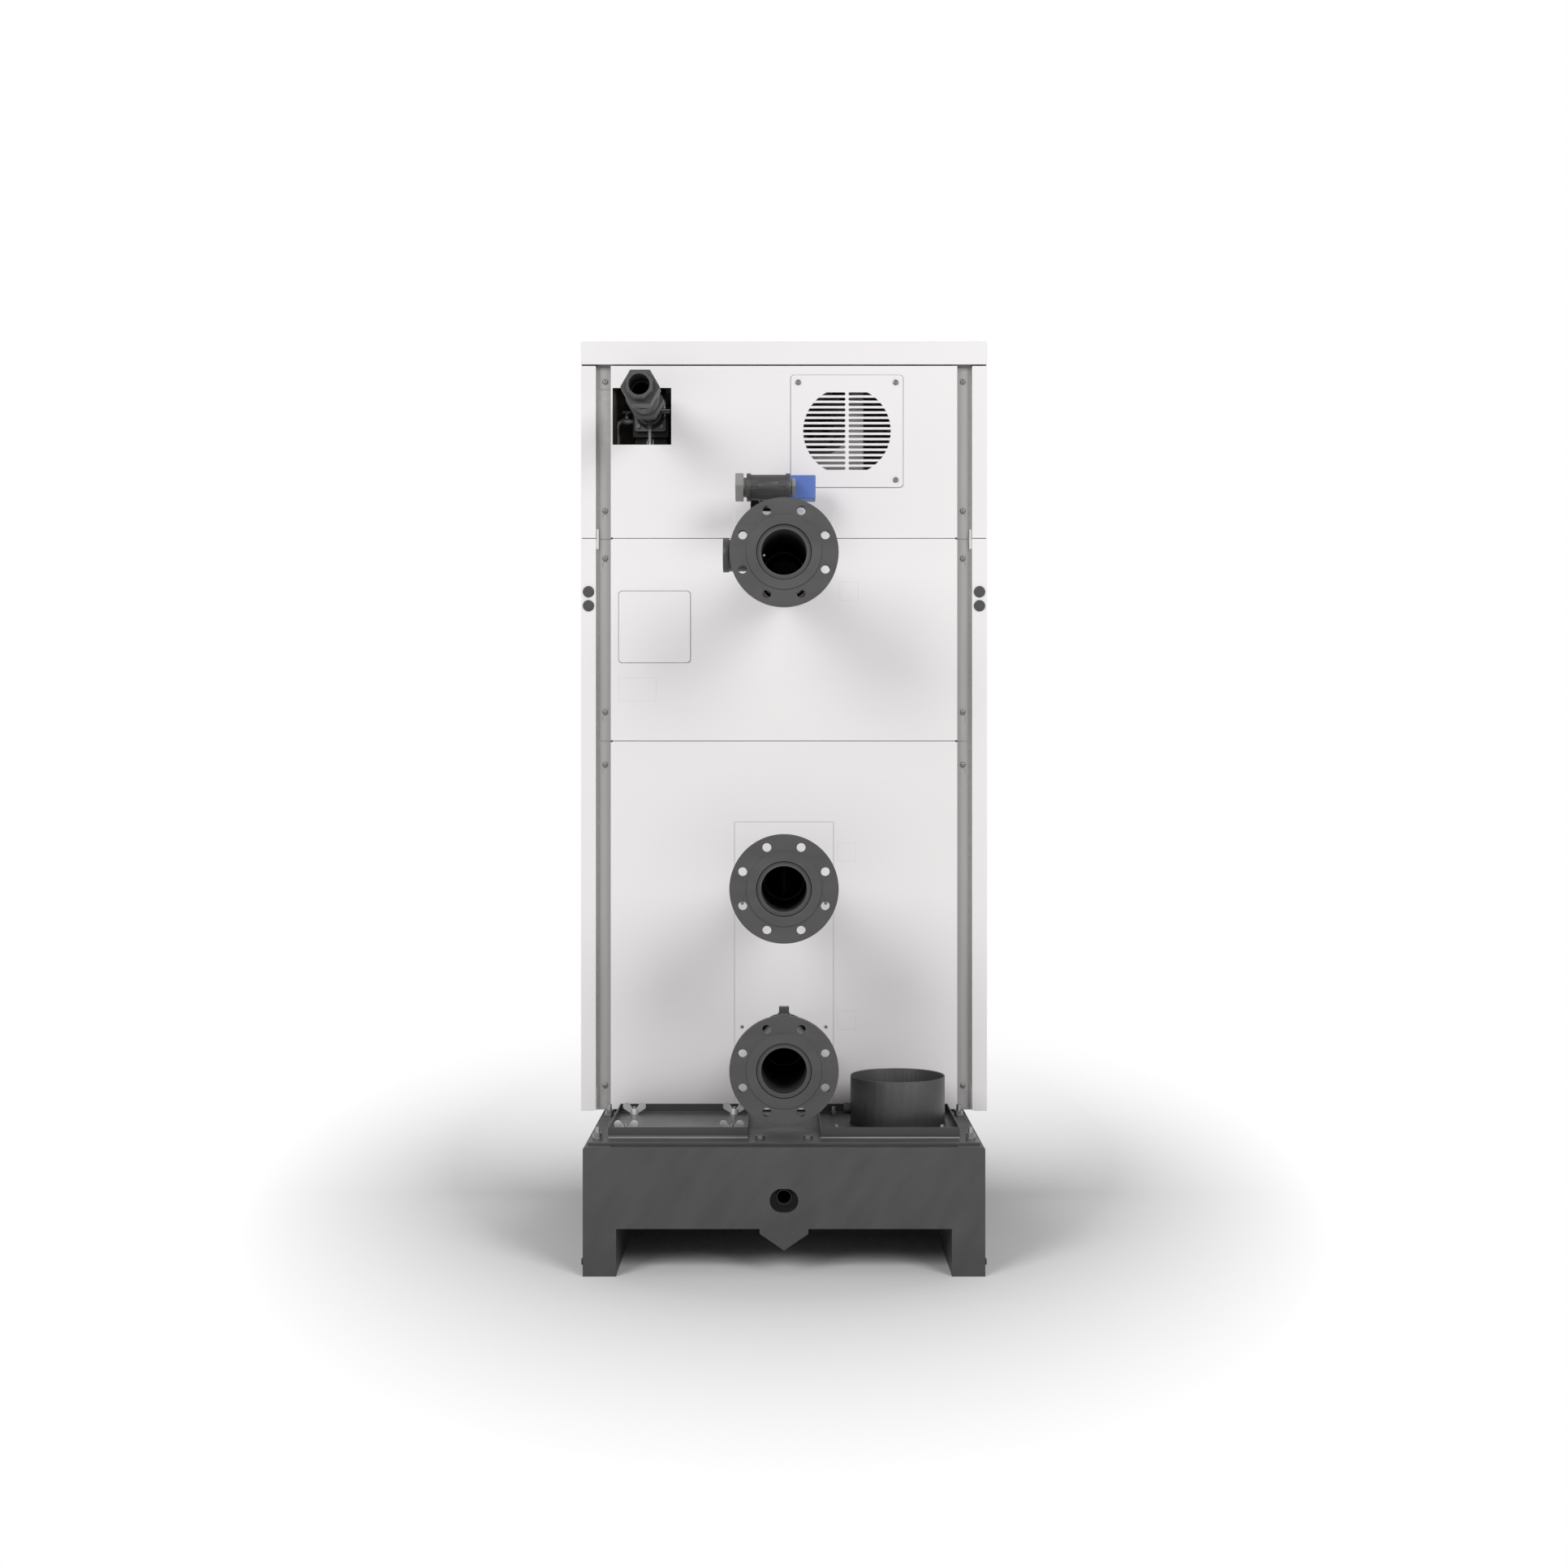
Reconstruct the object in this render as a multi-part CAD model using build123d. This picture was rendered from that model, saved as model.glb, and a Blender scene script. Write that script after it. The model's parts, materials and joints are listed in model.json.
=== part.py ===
"""A floor-standing commercial condensing gas boiler, in millimetres.

The front door faces -Y, the pipes leave towards +Y and the floor is Z = 0. The origin lies on the
floor under the middle of the overall box. Left and right are as seen from the front, so left is -X.
Hot gas runs down from the burner through the smoke tubes into the sump in the base, and leaves by
the flue spigot behind the casing.
"""

import os
from math import cos, radians, sin, sqrt

from build123d import *

# Overall layout
overall_length = 1260.0
body_width = 900.0
pipe_reach = 398.0
front_y = -overall_length / 2
flange_y = overall_length / 2
rear_y = flange_y - pipe_reach
running_clearance = 0.05
seat_gap = 0.3
thread_gap = 0.3

# Base frame and sump
base_width = 810.0
base_height = 260.0
base_rear_inset = 9.0
base_front_inset = 15.0
base_sheet = 4.0
base_corner_radius = 5.0
rail_width = 67.0
rail_clear_height = 95.7
sump_rear_inset = 61.0
sump_front_inset = 35.0
trough_half_width = 49.0
trough_side_drop = 9.6
trough_point_z = 52.3
drain_z = 152.6
drain_width = 57.6
drain_height = 47.7
drain_pipe_radius = 16.0
drain_pipe_wall = 2.3
drain_pipe_inset = 34.0
drain_pipe_bend = 40.0
drain_trap_z = 72.0
top_flange_depth = 35.0
top_slot_length = 700.0
top_slot_width = 15.0

# Sump lid and what stands on it
lid_side_inset = 7.5
lid_thickness = 5.6
lid_rear_inset = 24.0
gasket_thickness = 3.0
gasket_width = 46.0
pan_side = 286.0
pan_height = 19.7
pan_sheet = 2.5
pan_center_x = 217.0
pan_rear_inset = 67.0
pan_stud_inset = 34.0
pan_stud_radius = 4.0
pan_stud_height = 22.0
pan_hole_clearance = 1.0
pan_nut_flats = 13.0
pan_nut_height = 6.5
lid_stud_side_inset = 23.0
lid_stud_rear_insets = (65.0, 336.0)
lid_stud_radius = 5.0
lid_stud_height = 24.0
lid_nut_flats = 17.0
lid_nut_height = 9.0
lid_washer_radius = 10.5
lid_washer_thickness = 2.5
lid_bolt_x = 49.0
lid_bolt_head_height = 6.0

# Wing nuts
wing_hub_radius = 9.5
wing_hub_top_radius = 7.5
wing_hub_height = 12.0
wing_ear_radius = 8.0
wing_ear_reach = 17.0
wing_ear_rise = 17.5
wing_root_radius = 4.0
wing_thickness = 3.6

# Flue spigot
flue_radius = 100.0
flue_wall = 1.5
flue_offset_x = 24.0
flue_offset_y = 1.0
flue_length = 102.1
test_plug_radius = 12.5
test_plug_length = 14.0
test_plug_rise = 31.9

# Casing
casing_sheet = 1.5
cover_top_z = 1972.0
cover_height = 51.0
cover_edge_radius = 2.0
cover_gap = 3.3
side_bottom_gap = 0.6
back_bottom_gap = 4.4
side_seam_drop = 436.5
back_seam_z = 1086.2
seam_gap = 1.5
return_width = 32.7
return_lip = 20.0
door_gap = 5.0
side_front_return = 20.0
hook_height = 22.0
hook_width = 4.5
notch_radius = 4.0
panel_side_gap = 7.3
panel_recess = 18.0
panel_flange = 26.0
panel_edge_return = 15.0
relief_radius = 2.4
keyhole_radius = 6.75
keyhole_drop = 15.0
keyhole_neck_radius = 3.4
flange_corner_radius = 5.0

# Screws on the back
screw_inset = 14.0
top_screw_drop = 86.0
side_seam_screws = (63.5, -42.5)
back_seam_screws = (64.8, -52.2)
bottom_screw_rise = 50.0
screw_head_radius = 5.9
screw_head_height = 4.0
small_screw_radius = 3.7
small_screw_height = 2.6
washer_radius = 6.3
washer_thickness = 1.2
socket_head_radius = 4.4
socket_head_height = 5.0
socket_radius = 2.3
socket_depth = 2.5

# Openings and plates of the back panels
gas_window_inset = 4.0
gas_window_width = 130.0
gas_window_drop = 103.0
gas_window_height = 126.0
tee_window_x = (-7.0, 74.0)
tee_window_height = 139.5
pipe_hole_radius = 68.0
insert_width = 218.0
insert_thickness = 1.5
flow_insert_rise = 138.5
return_insert_rise = 126.1
return_slot_rise = 70.1
insert_screw_x = 93.0
insert_screw_drop = 52.9
insert_screw_rise = 38.7
grille_side = 248.0
grille_thickness = 3.0
grille_corner_radius = 8.0
grille_x = -139.5
grille_drop = 199.3
grille_screw_spacing = 216.0
grille_circle_radius = 97.0
grille_rows = 15
grille_pitch = 11.8
grille_slot_height = 6.8
grille_bar = 6.8
grille_back_hole_radius = 101.0
grommet_inset = 16.6
grommet_drops = (118.5, 149.5)
grommet_radius = 12.5
grommet_height = 4.0
grommet_plug_radius = 9.0
grommet_plug_depth = 6.0

# Casing frame
post_width = 41.5
post_depth = 40.0
post_sheet = 2.0
post_gap = 0.3
rail_angle = 40.0
rail_sheet = 3.0
trunk_x = -161.7
trunk_width = 33.0
trunk_drop = 332.0

# Front door, control fascia and controls
door_depth = 28.0
door_bottom_gap = 6.4
door_top_gap = 4.3
door_edge_radius = 3.0
hinge_inset_x = 10.0
hinge_inset_y = 16.0
hinge_pin_radius = 4.0
hinge_pin_reach = 12.0
hinge_plate = 3.0
hinge_plate_rear_width = 40.0
hinge_plate_front_width = 50.0
grip_inset = 45.0
grip_z = 900.0
grip_width = 30.0
grip_height = 150.0
grip_depth = 17.0
lock_inset = 105.0
lock_head_radius = 12.0
lock_head_thickness = 2.2
lock_dish_radius = 16.0
lock_dish_depth = 3.0
lock_barrel_radius = 9.0
lock_slot_width = 2.4
lock_slot_depth = 1.2
lock_cam_length = 45.0
lock_cam_width = 16.0
lock_cam_thickness = 3.0
lock_cam_gap = 0.5
bay_x = (-215.0, 215.0)
bay_drop = 172.0
bay_height = 135.0
bay_depth = 25.0
display_width = 190.0
display_height = 96.0
display_thickness = 3.0
display_x = -100.0
knob_x = 62.0
knob_radius = 22.0
knob_height = 18.0
knob_shaft_radius = 4.0
knob_skirt_radius = 25.0
knob_skirt_height = 4.0
knob_grooves = 18
switch_x = 165.0
switch_rise = 19.5
switch_width = 20.0
switch_height = 30.0
switch_depth = 9.0
switch_gap = 1.0
switch_tilt = 8.0
reset_x = 165.0
reset_drop = 27.5
reset_radius = 7.0
reset_height = 5.0
reset_collar_radius = 10.0

# Pressure vessel
vessel_wall = 6.0
vessel_top_drop = 427.0
tube_plate = 12.0
lower_plate_rise = 24.4
chamber_depth = 505.0
water_space = 80.0
chamber_wall = 5.0
smoke_tube_radius = 28.5
smoke_tube_wall = 3.0
smoke_tube_edge = 27.5
smoke_tube_rings = 2
jacket_thickness = 54.0
jacket_gap = 0.3
jacket_top_rise = 15.0
jacket_side_gap = 1.2
jacket_rear_gap = 27.7
jacket_front_gap = 52.7
jacket_hole_radius = 58.0
vessel_seat = 40.0

# Burner, mixture duct and fan
burner_plate_lap = 18.0
burner_plate = 12.0
burner_head_radius = 85.0
burner_head_length = 260.0
burner_wall = 2.5
duct_radius = 40.0
duct_wall = 3.0
duct_flange_radius = 56.0
duct_flange = 8.0
duct_end_run = 12.0
fan_offset = 170.0
fan_width = 80.0
fan_wall = 3.0
fan_scroll_radius = 100.0
fan_scroll_step = 15.0
fan_inlet_radius = 36.0
fan_inlet_length = 10.0
fan_inlet_lip = 6.0
fan_outlet_drop = 64.0
fan_outlet_plate = 6.0
fan_outlet_rim = 12.0
impeller_radius = 44.0
impeller_disc = 3.0
impeller_width = 50.0
impeller_eye_radius = 30.0
impeller_blades = 9
impeller_blade_thickness = 2.0
impeller_blade_sweep = 38.0
impeller_blade_sagitta = 4.0
impeller_hub_radius = 12.0
impeller_side_gap = 10.0
shaft_radius = 6.0
motor_radius = 52.0
motor_length = 80.0
motor_fins = 5
motor_fin_depth = 4.0

# Gas train
gas_inset = 82.5
gas_drop = 149.5
gas_bore_radius = 22.0
gas_throat_radius = 20.0
gas_tail_reach = 261.0
gas_tail_length = 27.0
gas_tail_flats = 55.0
gas_nut_flats = 72.0
gas_nut_length = 46.0
gas_neck_radius = 31.0
gas_step_flats = 60.0
gas_step_length = 26.0
gas_body_radius = 33.0
gas_hex_reach = 103.0
gas_hex_flats = 72.0
gas_hex_length = 40.0
gas_pipe_radius = 24.15
gas_collar_radius = 26.5
gas_collar_base_radius = 31.5
gas_collar_length = 26.0
gas_plate_inset = 71.0
gas_plate_width = 70.0
gas_plate_height = 73.0
gas_plate = 12.0
gas_plate_radius = 5.0
gas_plate_screw_x = 26.5
gas_plate_screw_z = 26.0
valve_width = 80.0
valve_height = 96.0
valve_depth = 110.0
valve_coil_radius = 30.0
valve_coil_height = 36.0
valve_box_width = 70.0
valve_box_height = 96.0
valve_box_depth = 80.0
valve_edge_radius = 4.0
tap_reach = 13.0
tap_hex_flats = 14.0
tap_hex_top_drop = 22.0
tap_hex_height = 10.0
tap_tube_radius = 3.5
tap_bend = 14.0
mixer_outer_radius = 48.0
mixer_length = 30.0
mixer_pipe_radius = 13.5
mixer_pipe_wall = 2.5
purge_inset = 6.0
purge_plate_distance = 20.0
purge_drop = 11.5
purge_radius = 6.0
purge_bend = 12.0
purge_sleeve_radius = 9.5
purge_sleeve_length = 24.0
purge_sleeve_drop = 43.0
cock_inset = 27.0
cock_half_length = 9.0
cock_radius = 8.5
cock_neck_radius = 5.0
cock_neck_height = 4.0
cock_stem_radius = 2.0
handle_boss_radius = 4.5
handle_boss_height = 6.0
handle_length = 22.0
handle_width = 5.0
handle_thickness = 5.0

# Water pipes
flow_drop = 78.5
upper_return_rise = 514.3
lower_return_rise = 148.7
pipe_radius = 54.0
pipe_wall = 8.0
pipe_end_inset = 6.0
nozzle_inner_radius = 42.0
nozzle_depth = 377.0
flange_radius = 110.0
flange_thickness = 21.0
raised_face_radius = 75.5
raised_face = 3.0
flange_recess_radius = 55.7
bolt_circle_radius = 90.0
bolt_hole_radius = 9.0
bolt_count = 8
cap_inset = 65.0
cap_x = 124.0
cap_radius = 34.35
cap_rim = 11.6
cap_body_radius = 32.5
plug_inset = 70.0
plug_socket_radius = 16.0
plug_socket_rise = 95.7
plug_base_radius = 12.7
plug_base_height = 13.3
plug_head_side = 20.5
plug_head_height = 12.7

# Tee, its fittings and the switch
tee_reach = 129.0
tee_rise = 171.0
tee_x = (-13.0, 80.0)
tee_branch_x = 34.0
tee_radius = 27.0
tee_band_radius = 30.0
tee_band_width = 9.0
tee_bore_radius = 20.9
tee_branch_length = 46.0
tee_rib_width = 16.0
tee_rib_height = 14.0
tee_plug_flats = 56.0
tee_plug_x = (87.0, 104.0)
tee_bushing_flats = 37.0
tee_bushing_x = (-25.0, -17.0)
tee_neck_radius = 21.0
tee_neck_small_radius = 15.0
standpipe_radius = 24.15
standpipe_wall = 3.2
standpipe_bend = 60.0
standpipe_inset = 32.0
flow_switch_x = (-68.5, 4.0)
flow_switch_reach = (52.0, 99.0)
flow_switch_rise = (151.0, 203.0)
flow_switch_edge = 3.0
switch_stem_x = -14.0
switch_stem_radius = 9.0
switch_hex_flats = 27.0
switch_hex_height = 14.0

# Places of the base and of what stands on its lid
base_rear_y = flange_y - base_rear_inset
base_front_y = front_y + base_front_inset
base_half = base_width / 2
rail_inner_x = base_half - rail_width
lid_top_z = base_height + lid_thickness
lid_rear_y = base_rear_y - lid_rear_inset
lid_front_y = base_front_y + lid_rear_inset
lid_half = base_half - lid_side_inset
lid_stud_x = base_half - lid_stud_side_inset
lid_stud_rows = [base_rear_y - inset for inset in lid_stud_rear_insets]
pan_y = base_rear_y - pan_rear_inset - pan_side / 2
pan_z = lid_top_z + gasket_thickness
pan_floor_z = pan_z + pan_sheet
pan_stud_offset = pan_side / 2 - pan_stud_inset
pan_window = pan_side / 2 - gasket_width
flue_x = -pan_center_x - flue_offset_x
flue_y = pan_y - flue_offset_y
flue_top_z = pan_floor_z + flue_length
test_plug_z = pan_floor_z + test_plug_rise

# Places of the casing
half_width = body_width / 2
cover_bottom_z = cover_top_z - cover_height
panel_top_z = cover_bottom_z - cover_gap
side_seam_z = cover_top_z - side_seam_drop
side_bottom_z = lid_top_z + side_bottom_gap
back_bottom_z = lid_top_z + back_bottom_gap
face_half = half_width - return_width - panel_side_gap - panel_flange
flange_outer_x = face_half + panel_flange
strip_y = rear_y - panel_recess
screw_x = face_half + screw_inset
screw_rows = [
    cover_top_z - top_screw_drop,
    *(side_seam_z + rise for rise in side_seam_screws),
    *(back_seam_z + rise for rise in back_seam_screws),
    back_bottom_z + bottom_screw_rise,
]
gas_window_x = (face_half - gas_window_inset - gas_window_width, face_half - gas_window_inset)
gas_window_top_z = cover_top_z - gas_window_drop
gas_window_z = (gas_window_top_z - gas_window_height, gas_window_top_z)
tee_window_top_z = side_seam_z + tee_window_height
grille_z = cover_top_z - grille_drop
grommet_x = half_width - grommet_inset
grommet_rows = [side_seam_z - drop for drop in grommet_drops]

# Places of the door, the fascia and the casing frame
door_back_y = front_y + door_depth
door_bottom_z = lid_top_z + door_bottom_gap
door_top_z = side_seam_z - door_top_gap
side_front_y = door_back_y + door_gap
post_rear_y = strip_y - casing_sheet
post_front_y = side_front_y + casing_sheet + post_gap
post_outer_x = half_width - return_width - post_gap
post_inner_x = post_outer_x - post_width
frame_top_z = cover_top_z - casing_sheet
frame_rail_z = frame_top_z - rail_angle
trunk_bottom_z = cover_top_z - trunk_drop
hinge_x = -half_width + hinge_inset_x
hinge_y = front_y + hinge_inset_y
grip_x = half_width - grip_inset
lock_x = half_width - lock_inset
bay_z = (cover_top_z - bay_drop - bay_height, cover_top_z - bay_drop)
bay_middle_z = sum(bay_z) / 2
switch_z = bay_middle_z + switch_rise
reset_z = bay_middle_z - reset_drop

# Places of the vessel, which fills the clear width or depth inside the frame, whichever is less
clear_depth = rear_y - side_front_y - jacket_rear_gap - jacket_front_gap
jacket_radius = min(post_inner_x - jacket_side_gap, clear_depth / 2)
vessel_radius = jacket_radius - jacket_thickness - jacket_gap
vessel_y = rear_y - jacket_rear_gap - jacket_radius
vessel_top_z = cover_top_z - vessel_top_drop
chamber_radius = vessel_radius - water_space
lower_plate_z = lid_top_z + lower_plate_rise
upper_plate_z = vessel_top_z - chamber_depth
jacket_top_z = vessel_top_z + jacket_top_rise
lid_vessel_hole_radius = vessel_radius - vessel_seat
smoke_tube_reach = chamber_radius - smoke_tube_edge - smoke_tube_radius
smoke_tube_pitch = smoke_tube_reach / smoke_tube_rings

# Places of the burner, the fan and the gas train
burner_plate_radius = chamber_radius + burner_plate_lap
burner_top_z = vessel_top_z + burner_plate
fan_y = vessel_y + fan_offset
fan_x = -(fan_scroll_radius - 1.5 * fan_scroll_step)
fan_outlet_half = 2 * fan_scroll_step
duct_bend = fan_offset / 2
fan_outlet_z = burner_top_z + 2 * duct_end_run + 2 * duct_bend
fan_z = fan_outlet_z + fan_outlet_drop
gas_x = face_half - gas_inset
gas_z = cover_top_z - gas_drop
gas_tail_y = rear_y + gas_tail_reach
gas_hex_y = rear_y + gas_hex_reach
gas_plate_y = rear_y - gas_plate_inset
valve_y = gas_plate_y - gas_plate - valve_depth / 2
tap_y = gas_plate_y + tap_reach
tap_hex_top_z = gas_z - tap_hex_top_drop
tap_hex_z = tap_hex_top_z - tap_hex_height
purge_x = face_half - purge_inset
purge_y = gas_plate_y - purge_plate_distance
purge_z = gas_z - purge_drop
purge_sleeve_z = purge_z - purge_sleeve_drop
cock_x = face_half - cock_inset

# Places of the water pipes and what sits on them
flow_z = side_seam_z - flow_drop
upper_return_z = lid_top_z + upper_return_rise
lower_return_z = lid_top_z + lower_return_rise
flow_insert_top_z = flow_z + flow_insert_rise
return_insert_top_z = upper_return_z + return_insert_rise
return_slot_top_z = upper_return_z + return_slot_rise
insert_screw_rows = (upper_return_z - insert_screw_drop, lower_return_z + insert_screw_rise)
cap_y = flange_y - cap_inset
plug_y = flange_y - plug_inset
plug_socket_top_z = lower_return_z + plug_socket_rise
plug_base_top_z = plug_socket_top_z + plug_base_height
plug_head_top_z = plug_base_top_z + plug_head_height
tee_y = rear_y + tee_reach
tee_z = flow_z + tee_rise
standpipe_y = vessel_y + vessel_radius - standpipe_inset
flow_switch_y = [rear_y + reach for reach in flow_switch_reach]
flow_switch_z = [flow_z + rise for rise in flow_switch_rise]


def block(x, y, z):
    """A box between two places on each axis."""
    center = [(low + high) / 2 for low, high in (x, y, z)]
    return Pos(*center) * Box(*(high - low for low, high in (x, y, z)))


def both(half):
    """The span from minus to plus one half-size."""
    return (-half, half)


def along_x(section, x):
    """A section drawn in Y and Z, drawn out between two X places."""
    return extrude(Plane.YZ.offset(x[0]) * section, x[1] - x[0])


def along_y(section, y):
    """A section drawn in X and Z, drawn out between two Y places."""
    return extrude(Plane.XZ.offset(-y[1]) * section, y[1] - y[0])


def along_z(section, z):
    """A section drawn in X and Y, drawn out between two Z places."""
    return extrude(Plane.XY.offset(z[0]) * section, z[1] - z[0])


def ring(outer, inner):
    return Circle(outer) - Circle(inner)


def hexagon(flats):
    return RegularPolygon(flats / 2, 6, major_radius=False)


def rectangle(x, y):
    """A rectangle between two places on each axis of its own plane."""
    return Pos((x[0] + x[1]) / 2, (y[0] + y[1]) / 2) * Rectangle(x[1] - x[0], y[1] - y[0])


def group(solids):
    """Separate solids that share one node."""
    return Compound(children=[solid for shape in solids for solid in shape.solids()])


def folded_sheet(points, sheet):
    """The section of a folded sheet that lies to the right of a path of straight runs."""
    return make_face(offset(Polyline(*points), sheet, side=Side.RIGHT).edges())


def bent_tube(points, bend, outer, inner):
    """A tube along straight runs joined by arcs of one radius."""
    path = FilletPolyline(*points, radius=bend)
    section = Plane(origin=path @ 0, z_dir=path % 0) * ring(outer, inner)
    return sweep(section, path)


def base_outline():
    """The outline of both end plates: two legs, a level underside and the trough's drop."""
    shoulder_z = rail_clear_height - trough_side_drop
    half = [
        (trough_half_width, shoulder_z),
        (trough_half_width, rail_clear_height),
        (rail_inner_x, rail_clear_height),
        (rail_inner_x, 0),
        (base_half, 0),
        (base_half, base_height),
    ]
    mirrored = [(-x, z) for x, z in reversed(half)]
    outline = make_face(Polyline((0, trough_point_z), *half, *mirrored, close=True))
    return fillet(outline.vertices().sort_by(Axis.Y)[-2:], base_corner_radius)


def base_rear_plate():
    drain = Pos(0, drain_z) * SlotOverall(drain_width, drain_height)
    inner_y = base_rear_y - base_sheet
    plate = along_y(base_outline() - drain, (inner_y, base_rear_y))
    flange_x = both(base_half - base_corner_radius)
    top = (base_height - base_sheet, base_height)
    plate += block(flange_x, (base_rear_y - top_flange_depth, inner_y), top)
    slot_y = (inner_y - top_slot_width, inner_y)
    return plate - block(both(top_slot_length / 2), slot_y, top)


def base_front_plate():
    plate = along_y(base_outline(), (base_front_y, base_front_y + base_sheet))
    top = (base_height - base_sheet, base_height)
    flange_y_span = (base_front_y + base_sheet, base_front_y + top_flange_depth)
    return plate + block(both(base_half - base_corner_radius), flange_y_span, top)


def base_rail(side):
    """One hollow side rail, on the right for side 1 and on the left for side -1."""
    top = base_height - base_sheet
    outer = rectangle((rail_inner_x, base_half), (0, top))
    inner = rectangle(
        (rail_inner_x + base_sheet, base_half - base_sheet), (base_sheet, top - base_sheet)
    )
    rail = along_y(outer - inner, (base_front_y + base_sheet, base_rear_y - base_sheet))
    return rail if side > 0 else mirror(rail, about=Plane.YZ)


def sump_pan():
    """A folded pan hung in the frame by its turned-out edges, with the trough down its middle."""
    shoulder_z = rail_clear_height - trough_side_drop
    edge_z = base_height - base_sheet
    half = [
        (trough_half_width, shoulder_z),
        (trough_half_width, rail_clear_height),
        (rail_inner_x, rail_clear_height),
        (rail_inner_x, edge_z),
        (base_half - base_corner_radius, edge_z),
    ]
    mirrored = [(-x, z) for x, z in reversed(half)]
    path = [*reversed(half), (0, trough_point_z), *reversed(mirrored)]
    y = (base_front_y + sump_front_inset, base_rear_y - sump_rear_inset)
    pan = along_y(folded_sheet(path, base_sheet), y)
    wall_half = [*half[:3], (rail_inner_x, base_height)]
    wall_mirrored = [(-x, z) for x, z in reversed(wall_half)]
    wall = make_face(Polyline((0, trough_point_z), *wall_half, *wall_mirrored, close=True))
    pan += along_y(wall, (y[0], y[0] + base_sheet))
    pan += along_y(wall, (y[1] - base_sheet, y[1]))
    return pan - along_y(Pos(0, drain_z) * Circle(drain_pipe_radius), (y[1] - base_sheet, y[1]))


def condensate_outlet():
    """The drain pipe, whose inner end dips into the trough to keep a water seal."""
    outer_y = base_rear_y - drain_pipe_inset
    dip_y = base_rear_y - sump_rear_inset - base_sheet - drain_pipe_bend
    points = [(0, outer_y, drain_z), (0, dip_y, drain_z), (0, dip_y, drain_trap_z)]
    inner = drain_pipe_radius - drain_pipe_wall
    return bent_tube(points, drain_pipe_bend, drain_pipe_radius, inner)


def sump_lid():
    y = (lid_front_y, lid_rear_y)
    lid = block(both(lid_half), y, (base_height, lid_top_z))
    cut_z = (base_height, lid_top_z)
    window = Pos(pan_center_x, pan_y) * Rectangle(2 * pan_window, 2 * pan_window)
    lid -= along_z(window, cut_z)
    lid -= along_z(Pos(flue_x, flue_y) * Circle(flue_radius - flue_wall), cut_z)
    return lid - along_z(Pos(0, vessel_y) * Circle(lid_vessel_hole_radius), cut_z)


def pan_stud_places(center_x):
    """The four stud places of one square pan."""
    offsets = both(pan_stud_offset)
    return [(center_x + dx, pan_y + dy) for dx in offsets for dy in offsets]


def stud_with_nut(x, y, stud, flats, nut, washer, base_z):
    """A stud from the lid, given as radius and height, with a nut and a washer at base_z."""
    radius, height = stud
    washer_radius_here, washer_here = washer
    shape = along_z(Pos(x, y) * Circle(radius), (lid_top_z, lid_top_z + height))
    if washer_here > 0:
        shape += along_z(Pos(x, y) * Circle(washer_radius_here), (base_z, base_z + washer_here))
    nut_z = (base_z + washer_here, base_z + washer_here + nut)
    return shape + along_z(Pos(x, y) * hexagon(flats), nut_z)


def base_fasteners():
    """Lid studs with nuts and washers, lid bolts, and the studs of both pans."""
    pieces = []
    for y in lid_stud_rows:
        for x in both(lid_stud_x):
            stud = (lid_stud_radius, lid_stud_height)
            washer = (lid_washer_radius, lid_washer_thickness)
            pieces.append(
                stud_with_nut(x, y, stud, lid_nut_flats, lid_nut_height, washer, lid_top_z)
            )
    for x in both(lid_bolt_x):
        head = Pos(x, lid_stud_rows[0]) * hexagon(lid_nut_flats)
        pieces.append(along_z(head, (lid_top_z, lid_top_z + lid_bolt_head_height)))
    for x, y in pan_stud_places(-pan_center_x):
        stud = (pan_stud_radius, pan_stud_height)
        pieces.append(
            stud_with_nut(x, y, stud, pan_nut_flats, pan_nut_height, (0, 0), pan_floor_z)
        )
    for x, y in pan_stud_places(pan_center_x):
        pieces.append(
            along_z(Pos(x, y) * Circle(pan_stud_radius), (lid_top_z, lid_top_z + pan_stud_height))
        )
    return group(pieces)


def pan_stud_holes(center_x, z):
    holes = [Pos(x, y) * Circle(pan_stud_radius + pan_hole_clearance) for x, y in pan_stud_places(center_x)]
    return [along_z(hole, z) for hole in holes]


def cover_gaskets():
    """The two flat gaskets under the square pans."""
    z = (lid_top_z, pan_z)
    outline = Rectangle(pan_side, pan_side)
    window = Rectangle(2 * pan_window, 2 * pan_window)
    inspection = along_z(Pos(pan_center_x, pan_y) * (outline - window), z)
    flue = along_z(Pos(-pan_center_x, pan_y) * outline, z)
    flue -= along_z(Pos(flue_x, flue_y) * Circle(flue_radius), z)
    return group([
        inspection - pan_stud_holes(pan_center_x, z),
        flue - pan_stud_holes(-pan_center_x, z),
    ])


def square_pan(center_x):
    """A shallow square pan with upstanding rims and four stud holes in its floor."""
    half = pan_side / 2
    x = (center_x - half, center_x + half)
    y = (pan_y - half, pan_y + half)
    pan = block(x, y, (pan_z, pan_z + pan_height))
    inner_x = (x[0] + pan_sheet, x[1] - pan_sheet)
    inner_y = (y[0] + pan_sheet, y[1] - pan_sheet)
    pan -= block(inner_x, inner_y, (pan_floor_z, pan_z + pan_height))
    return pan - pan_stud_holes(center_x, (pan_z, pan_floor_z))


def flue_pan():
    bore = Pos(flue_x, flue_y) * Circle(flue_radius - flue_wall)
    return square_pan(-pan_center_x) - along_z(bore, (pan_z, pan_floor_z))


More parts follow.
